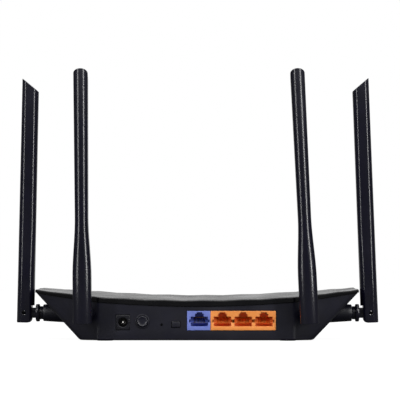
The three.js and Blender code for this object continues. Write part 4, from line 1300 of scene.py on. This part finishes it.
stay = {
    board_mask: ["main_board"],
    chip_epoxy: [
        "power_switch",
        "wps_switch",
        "reset_switch",
        "memory_chip",
        "wan_transformer",
        "lan_transformer",
    ],
    casing_plastic: ["reset_plunger"],
    aluminium: ["processor_heatsink"],
    shield_metal: ["radio_shield"],
    capacitor_sleeve: ["input_capacitor", "output_capacitor"],
    acrylic: ["light_pipe"],
    led_white: [f"led_{index}" for index in (1, 2, 3, 4)],
    zinc: [f"board_screw_{index}" for index in (1, 2, 3)] + ["case_screw_1", "case_screw_2"],
    brass: [f"radiator_{name}" for name in HINGES],
    lead_jacket: [f"coax_lead_{name}" for name in HINGES],
}
for finish, nodes in stay.items():
    for node in nodes:
        painted(frame["nodes"][node], finish)

# ---------------------------------------------------------------- camera, floor and lights

CAMERA_PLACE = Vector((26.35, -1561, 37.65)) * MM
CAMERA_AIM = Vector((2.71, -61, 97.83)) * MM
LENS_MM = 194.6
SENSOR_MM = 36
SEEN_FROM, SEEN_TO = 0.05, 50  # the nearest and farthest distances that the camera sees
STRIP_ANGLE = 40  # degrees to each side of the camera's side
STRIP_DISTANCE = 1.6
STRIP_HEIGHT = 0.75
STRIP_SIZE = (0.16, 1.5)
FLOOR_SIZE = 30

camera_data = bpy.data.cameras.new("camera")
camera_data.lens = LENS_MM
camera_data.sensor_width = SENSOR_MM
camera_data.clip_start = SEEN_FROM
camera_data.clip_end = SEEN_TO
camera = bpy.data.objects.new("camera", camera_data)
bpy.context.scene.collection.objects.link(camera)
camera.location = CAMERA_PLACE
camera.rotation_euler = (CAMERA_AIM - CAMERA_PLACE).to_track_quat("-Z", "Y").to_euler()
bpy.context.scene.camera = camera


def soft_box(name, place, size, power, target=(0, 0, 0.08)):
    """A soft rectangular light that faces the router; the camera doesn't see the box itself."""
    data = bpy.data.lights.new(name, "AREA")
    data.shape = "RECTANGLE"
    data.size, data.size_y = size
    data.energy = power
    light = bpy.data.objects.new(name, data)
    bpy.context.scene.collection.objects.link(light)
    light.location = place
    light.rotation_euler = (Vector(target) - Vector(place)).to_track_quat("-Z", "Y").to_euler()
    light.visible_camera = False
    return light


def strip_light(name, angle, power):
    """A tall strip light beside the router, level with its own middle."""
    turn = math.radians(angle)
    place = (math.sin(turn) * STRIP_DISTANCE, -math.cos(turn) * STRIP_DISTANCE, STRIP_HEIGHT)
    return soft_box(name, place, STRIP_SIZE, power, (0, 0, STRIP_HEIGHT))


strip_light("strip_left", -STRIP_ANGLE, 8)
strip_light("strip_right", STRIP_ANGLE, 13.5)
soft_box("overhead", (0, 0.1, 1.6), (1.4, 1.0), 8)
soft_box("front_fill", (0, -1.5, 1.5), (1.2, 0.6), 10)
soft_box("backdrop", (0, 1.8, 0.2), (3.0, 0.4), 2.3, (0, 0, 0.2))

world = bpy.data.worlds.new("studio")
world.use_nodes = True
bpy.context.scene.world = world
world.node_tree.nodes.clear()
sky = world.node_tree
white = linear("ffffff")
# White to the camera. The router sees a dim room that brightens towards the ceiling.
direction = add_node(sky, "TexCoord").outputs["Generated"]
height = add_node(sky, "SeparateXYZ", {"Vector": direction}).outputs["Z"]
ceiling = {"Value": height, "From Min": 0.2, "From Max": 0.55, "To Min": 0.06, "To Max": 0.6}
glow = add_node(sky, "MapRange", ceiling).outputs["Result"]
seen = add_node(sky, "LightPath").outputs["Is Camera Ray"]
level = add_node(sky, "MapRange", {"Value": seen, "To Min": glow, "To Max": 1.0}).outputs["Result"]
background = add_node(sky, "Background", {"Color": white, "Strength": level})
add_node(sky, "OutputWorld", {"Surface": background.outputs["Background"]})

bpy.ops.object.select_all(action="DESELECT")
bpy.ops.mesh.primitive_plane_add(size=FLOOR_SIZE)
floor = named("floor")
# Grey to the router and its lights, and nearly white to the camera.
sheen = {"Specular_IOR_Level": 0.1, "Emission_Color": white}
paper, paper_tree, paper_shader, _ = start_finish("white_paper_sweep", "606060", 0.9, **sheen)
seen_floor = add_node(paper_tree, "LightPath").outputs["Is Camera Ray"]
floor_glow = add_node(paper_tree, "MapRange", {"Value": seen_floor, "To Min": 0.0, "To Max": 0.95})
paper_tree.links.new(floor_glow.outputs["Result"], paper_shader.inputs["Emission Strength"])
painted(floor, paper)

bpy.context.scene.view_settings.view_transform = "Standard"
